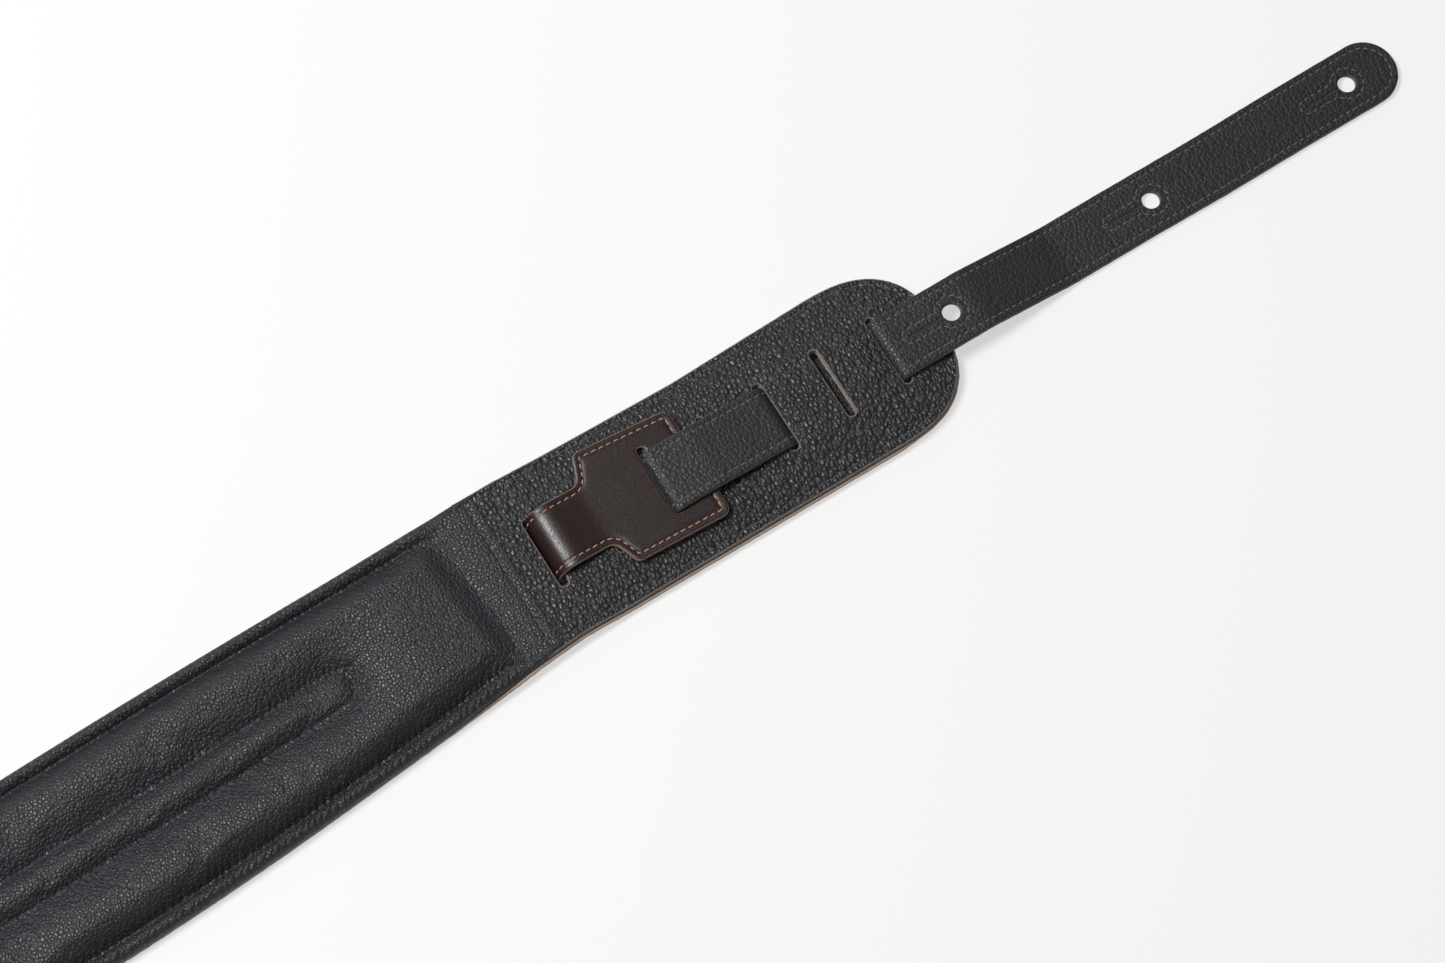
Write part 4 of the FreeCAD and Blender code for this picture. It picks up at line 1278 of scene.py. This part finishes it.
class STRAP_OT_pad_stitching(bpy.types.Operator):
    """Builds the stitching of the pad's hems, channels and cross seams"""
    bl_idname = "strap.pad_stitching"
    bl_label = "Pad stitching"

    def execute(self, context):
        x = np.linspace(FRONT_SEAM + 2, REAR_SEAM - 2, 1400)
        lines = [upright(pad_surface(x, np.full(len(x), Q_HEM * side))) for side in (-1, 1)]
        inner, run = pad_sizes().channel_half * 1000, channel_run()
        turn = np.linspace(-math.pi / 2, math.pi / 2, 30)
        straight = np.linspace(-run, run, 1100)
        loop_x = np.concatenate([straight, run + inner * np.cos(turn), straight[::-1], -run - inner * np.cos(turn)])
        loop_y = np.concatenate([np.full(1100, -inner), inner * np.sin(turn), np.full(1100, inner),
                                 -inner * np.sin(turn)])
        line = pad_surface(MIDDLE + loop_x, Q_HEM * loop_y / hem_line(MIDDLE + loop_x))
        lines.append(upright(np.concatenate([line, line[:1]])))
        obj = stitching("pad_stitching", lines, pad_thread(), -0.06, 3)
        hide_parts(*[f"{side}_{part}_stitching" for side in ("rear", "front")
                           for part in ("pad_edge", "pad_channel", "bend")])
        bend_with_shoulder(obj)

        for side, seam, sign in (("rear", REAR_SEAM, -1), ("front", FRONT_SEAM, 1)):
            at = seam + sign * thread_sizes().seam_inset * 1000
            line = pad_surface(np.full(240, at), np.linspace(-Q_HEM, Q_HEM, 240))
            obj = stitching(side + "_seam_stitching", [upright(line)], black_thread(), 0.12, 4)
            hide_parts(side + "_pad_seam_stitching")
            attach(obj, side + "_pad")
        return {"FINISHED"}


class STRAP_OT_end_stitching(bpy.types.Operator):
    """Builds the edge stitching of both ends and the tongue's button hole stitching"""
    bl_idname = "strap.end_stitching"
    bl_label = "End stitching"

    def execute(self, context):
        inset = thread_sizes().inset * 1000
        loop = ladder_outline(REAR_JOIN, inset, 0.6)
        beside_tail = (np.abs(loop[:, 1] - Y_AXIS) > TAIL_HALF + 1.2) | (loop[:, 0] < last_slot())
        runs = parts_of(loop, (loop[:, 0] > REAR_SEAM + 1.0) & beside_tail)
        place = rear_place(Z_END_TOP)
        obj = stitching("ladder_edge_threads", [plan_line(run, place, -0.22, False) for run in runs],
                        black_thread(), 0.1, 5)
        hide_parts("ladder_edge_stitching")
        fold_with_rear_end(obj)

        loop = tongue_outline(FRONT_JOIN, inset, 0.6)
        runs = parts_of(loop, loop[:, 0] < FRONT_SEAM - 1.0)
        place = tongue_place(Z_TONGUE_TOP)
        obj = stitching("tongue_threads", [plan_line(run, place, -0.22, False) for run in runs]
                        + [plan_line(tongue_hole(inset), place, -0.22)], black_thread(), 0.1, 6)
        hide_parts("tongue_edge_stitching", "tongue_keyhole_stitching")
        fold_with_front_end(obj)
        return {"FINISHED"}


class STRAP_OT_strap_stitching(bpy.types.Operator):
    """Builds the tan stitching of the face leather and the black stitching of the lining"""
    bl_idname = "strap.strap_stitching"
    bl_label = "Tab and tail stitching"

    def execute(self, context):
        s = sizes()
        inset = thread_sizes().inset * 1000
        strap = Strap()
        loop = strap.plan(inset - 0.3)
        loop = loop[np.abs(np.diff(np.concatenate([loop[-1:], loop]), axis=0)).sum(1) > 1e-6]
        covered = (loop[:, 0] < 6) & (np.abs(loop[:, 1]) < TAIL_HALF + 0.6)
        face_runs = parts_of(loop, ~covered)
        holes = [keyhole(u, -1, inset) for u in strap.holes()]
        face = -s.face_thickness * 1000

        def flipped(line):
            return line[0], -line[1]

        lines = [flipped(plan_line(run, strap.place, face + 0.16, False)) for run in face_runs]
        lines += [flipped(plan_line(hole, strap.place, face + 0.16)) for hole in holes]
        obj = stitching("face_threads", lines, tan_thread(), 0.1, 7)
        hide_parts("tab_stitching")
        bend_with_tail(obj)

        lining = s.tail_lining_thickness * 1000
        loop = strap.plan(inset)
        runs = parts_of(loop, loop[:, 0] > strap.tab(slot_place(0) + 3))
        lines = [plan_line(run, strap.place, lining - 0.2, False) for run in runs]
        lines += [plan_line(hole, strap.place, lining - 0.2) for hole in holes]
        obj = stitching("lining_threads", lines, tail_thread(), 0.1, 8)
        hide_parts("tail_edge_stitching", "tail_keyhole_stitching")
        bend_with_tail(obj)
        return {"FINISHED"}


class STRAP_OT_stage(bpy.types.Operator):
    """Builds the pale floor, whose glow is taken away under the strap's rear end as painted shade, the soft lights
    and the camera
    """
    bl_idname = "strap.stage"
    bl_label = "Stage"

    def execute(self, context):
        scene = context.scene
        base = tuple(colours().floor)
        material = bpy.data.materials.new("Floor paper")
        material.use_nodes = True
        tree = material.node_tree
        shader = tree.nodes["Principled BSDF"]
        where = object_place(tree)
        patches = cloud(tree, where, 3.0, 2.0)
        tree.links.new(mixed(tree, patches, tuple(0.99 * c for c in base), base), shader.inputs["Base Color"])
        shader.inputs["Roughness"].default_value = 0.8
        shader.inputs["Specular IOR Level"].default_value = 0.0
        # Painted shade: the floor glows evenly, but its glow fades to nothing under the strap's rear end, so that
        # the floor seen through the slots and holes stays dark.
        apart = add(tree, "ShaderNodeSeparateXYZ", links={"Vector": where}).outputs
        from_middle = maths(tree, "ABSOLUTE", maths(tree, "SUBTRACT", apart[0], (REAR_SEAM + NOSE - 30) / 2000))
        reach = (NOSE - REAR_SEAM + 30) / 2000
        ends = gentle_step(tree, from_middle, reach - 0.018, reach - 0.010)
        from_axis = maths(tree, "ABSOLUTE", maths(tree, "SUBTRACT", apart[1], Y_AXIS / 1000))
        sides = gentle_step(tree, from_axis, END_HALF / 1000 - 0.014, END_HALF / 1000 - 0.005)
        glow_beyond_painted_shade = maths(tree, "MAXIMUM", ends, sides)
        tree.links.new(mixed(tree, glow_beyond_painted_shade, (0.0, 0.0, 0.0), (1.0, 1.0, 1.0)), shader.inputs["Emission Color"])
        shader.inputs["Emission Strength"].default_value = 0.583
        points = FLOOR_HALF * np.array([(-1, -1, 0), (1, -1, 0), (1, 1, 0), (-1, 1, 0)], float)
        floor = new_object("floor", points, [np.array([[0, 1, 2, 3]])], material)
        floor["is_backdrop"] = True

        world = bpy.data.worlds.new("Studio")
        scene.world = world
        world.use_nodes = True
        background = world.node_tree.nodes["Background"]
        background.inputs["Color"].default_value = (1.0, 1.0, 1.0, 1.0)
        background.inputs["Strength"].default_value = 0.2
        target = Vector((last_slot() - 74.0, Y_AXIS - 8.7, 0)) / 1000
        for name, offset, wide, power in (("Key light", (-0.78, 0.62, 1.64), 0.8, 44.0),
                                          ("Rim light", (0.9, 1.6, 0.9), 0.8, 4.0)):
            lamp = bpy.data.lights.new(name, "AREA")
            lamp.shape, lamp.size, lamp.energy = "DISK", wide, power
            obj = bpy.data.objects.new(name, lamp)
            obj.location = target + Vector(offset)
            obj.rotation_euler = (-Vector(offset)).to_track_quat("-Z", "Y").to_euler()
            scene.collection.objects.link(obj)

        elevation, heading, distance = math.radians(72.31), math.radians(58.18), 1.1902
        back = Vector((-math.cos(elevation) * math.cos(heading), -math.cos(elevation) * math.sin(heading),
                       math.sin(elevation)))
        camera = bpy.data.objects.new("Camera", bpy.data.cameras.new("Camera"))
        camera.data.lens, camera.data.sensor_width = 85.0, 36.0
        camera.location = target + back * distance
        camera.rotation_euler = (-back).to_track_quat("-Z", "Y").to_euler()
        scene.collection.objects.link(camera)
        scene.camera = camera
        scene.view_settings.view_transform = "Standard"
        return {"FINISHED"}


class STRAP_PT_panel(bpy.types.Panel):
    """Lists the strap's pieces"""
    bl_idname = "STRAP_PT_panel"
    bl_label = "Padded leather strap"
    bl_space_type = "VIEW_3D"
    bl_region_type = "UI"
    bl_category = "Strap"

    def draw(self, context):
        layout = self.layout
        for operator in OPERATORS:
            layout.operator(operator.bl_idname)
        for group in (context.scene.strap_sizes, context.scene.pad_sizes, context.scene.thread_sizes,
                      context.scene.strap_colours):
            box = layout.box()
            for key in group.__annotations__:
                box.prop(group, key)


OPERATORS = (STRAP_OT_pad, STRAP_OT_base, STRAP_OT_end_linings, STRAP_OT_woven_strap, STRAP_OT_pad_stitching,
             STRAP_OT_end_stitching, STRAP_OT_strap_stitching, STRAP_OT_stage)
GROUPS = {"strap_sizes": StrapSizes, "pad_sizes": PadSizes, "thread_sizes": ThreadSizes,
          "strap_colours": StrapColours}


def register():
    for group in GROUPS.values():
        bpy.utils.register_class(group)
    for key, group in GROUPS.items():
        setattr(bpy.types.Scene, key, bpy.props.PointerProperty(type=group))
    for operator in OPERATORS:
        bpy.utils.register_class(operator)
    bpy.utils.register_class(STRAP_PT_panel)


def unregister():
    bpy.utils.unregister_class(STRAP_PT_panel)
    for operator in reversed(OPERATORS):
        bpy.utils.unregister_class(operator)
    for key, group in GROUPS.items():
        delattr(bpy.types.Scene, key)
        bpy.utils.unregister_class(group)


def main():
    register()
    bpy.ops.strap.pad()
    bpy.ops.strap.base_leather()
    bpy.ops.strap.end_linings()
    bpy.ops.strap.woven_strap()
    bpy.ops.strap.pad_stitching()
    bpy.ops.strap.end_stitching()
    bpy.ops.strap.strap_stitching()
    bpy.ops.strap.stage()
    corners = {"cad": CAD_BOX, "visual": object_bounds()}
    plain = {key: [[float(c) for c in corner] for corner in pair] for key, pair in corners.items()}


if __name__ == "__main__":
    main()
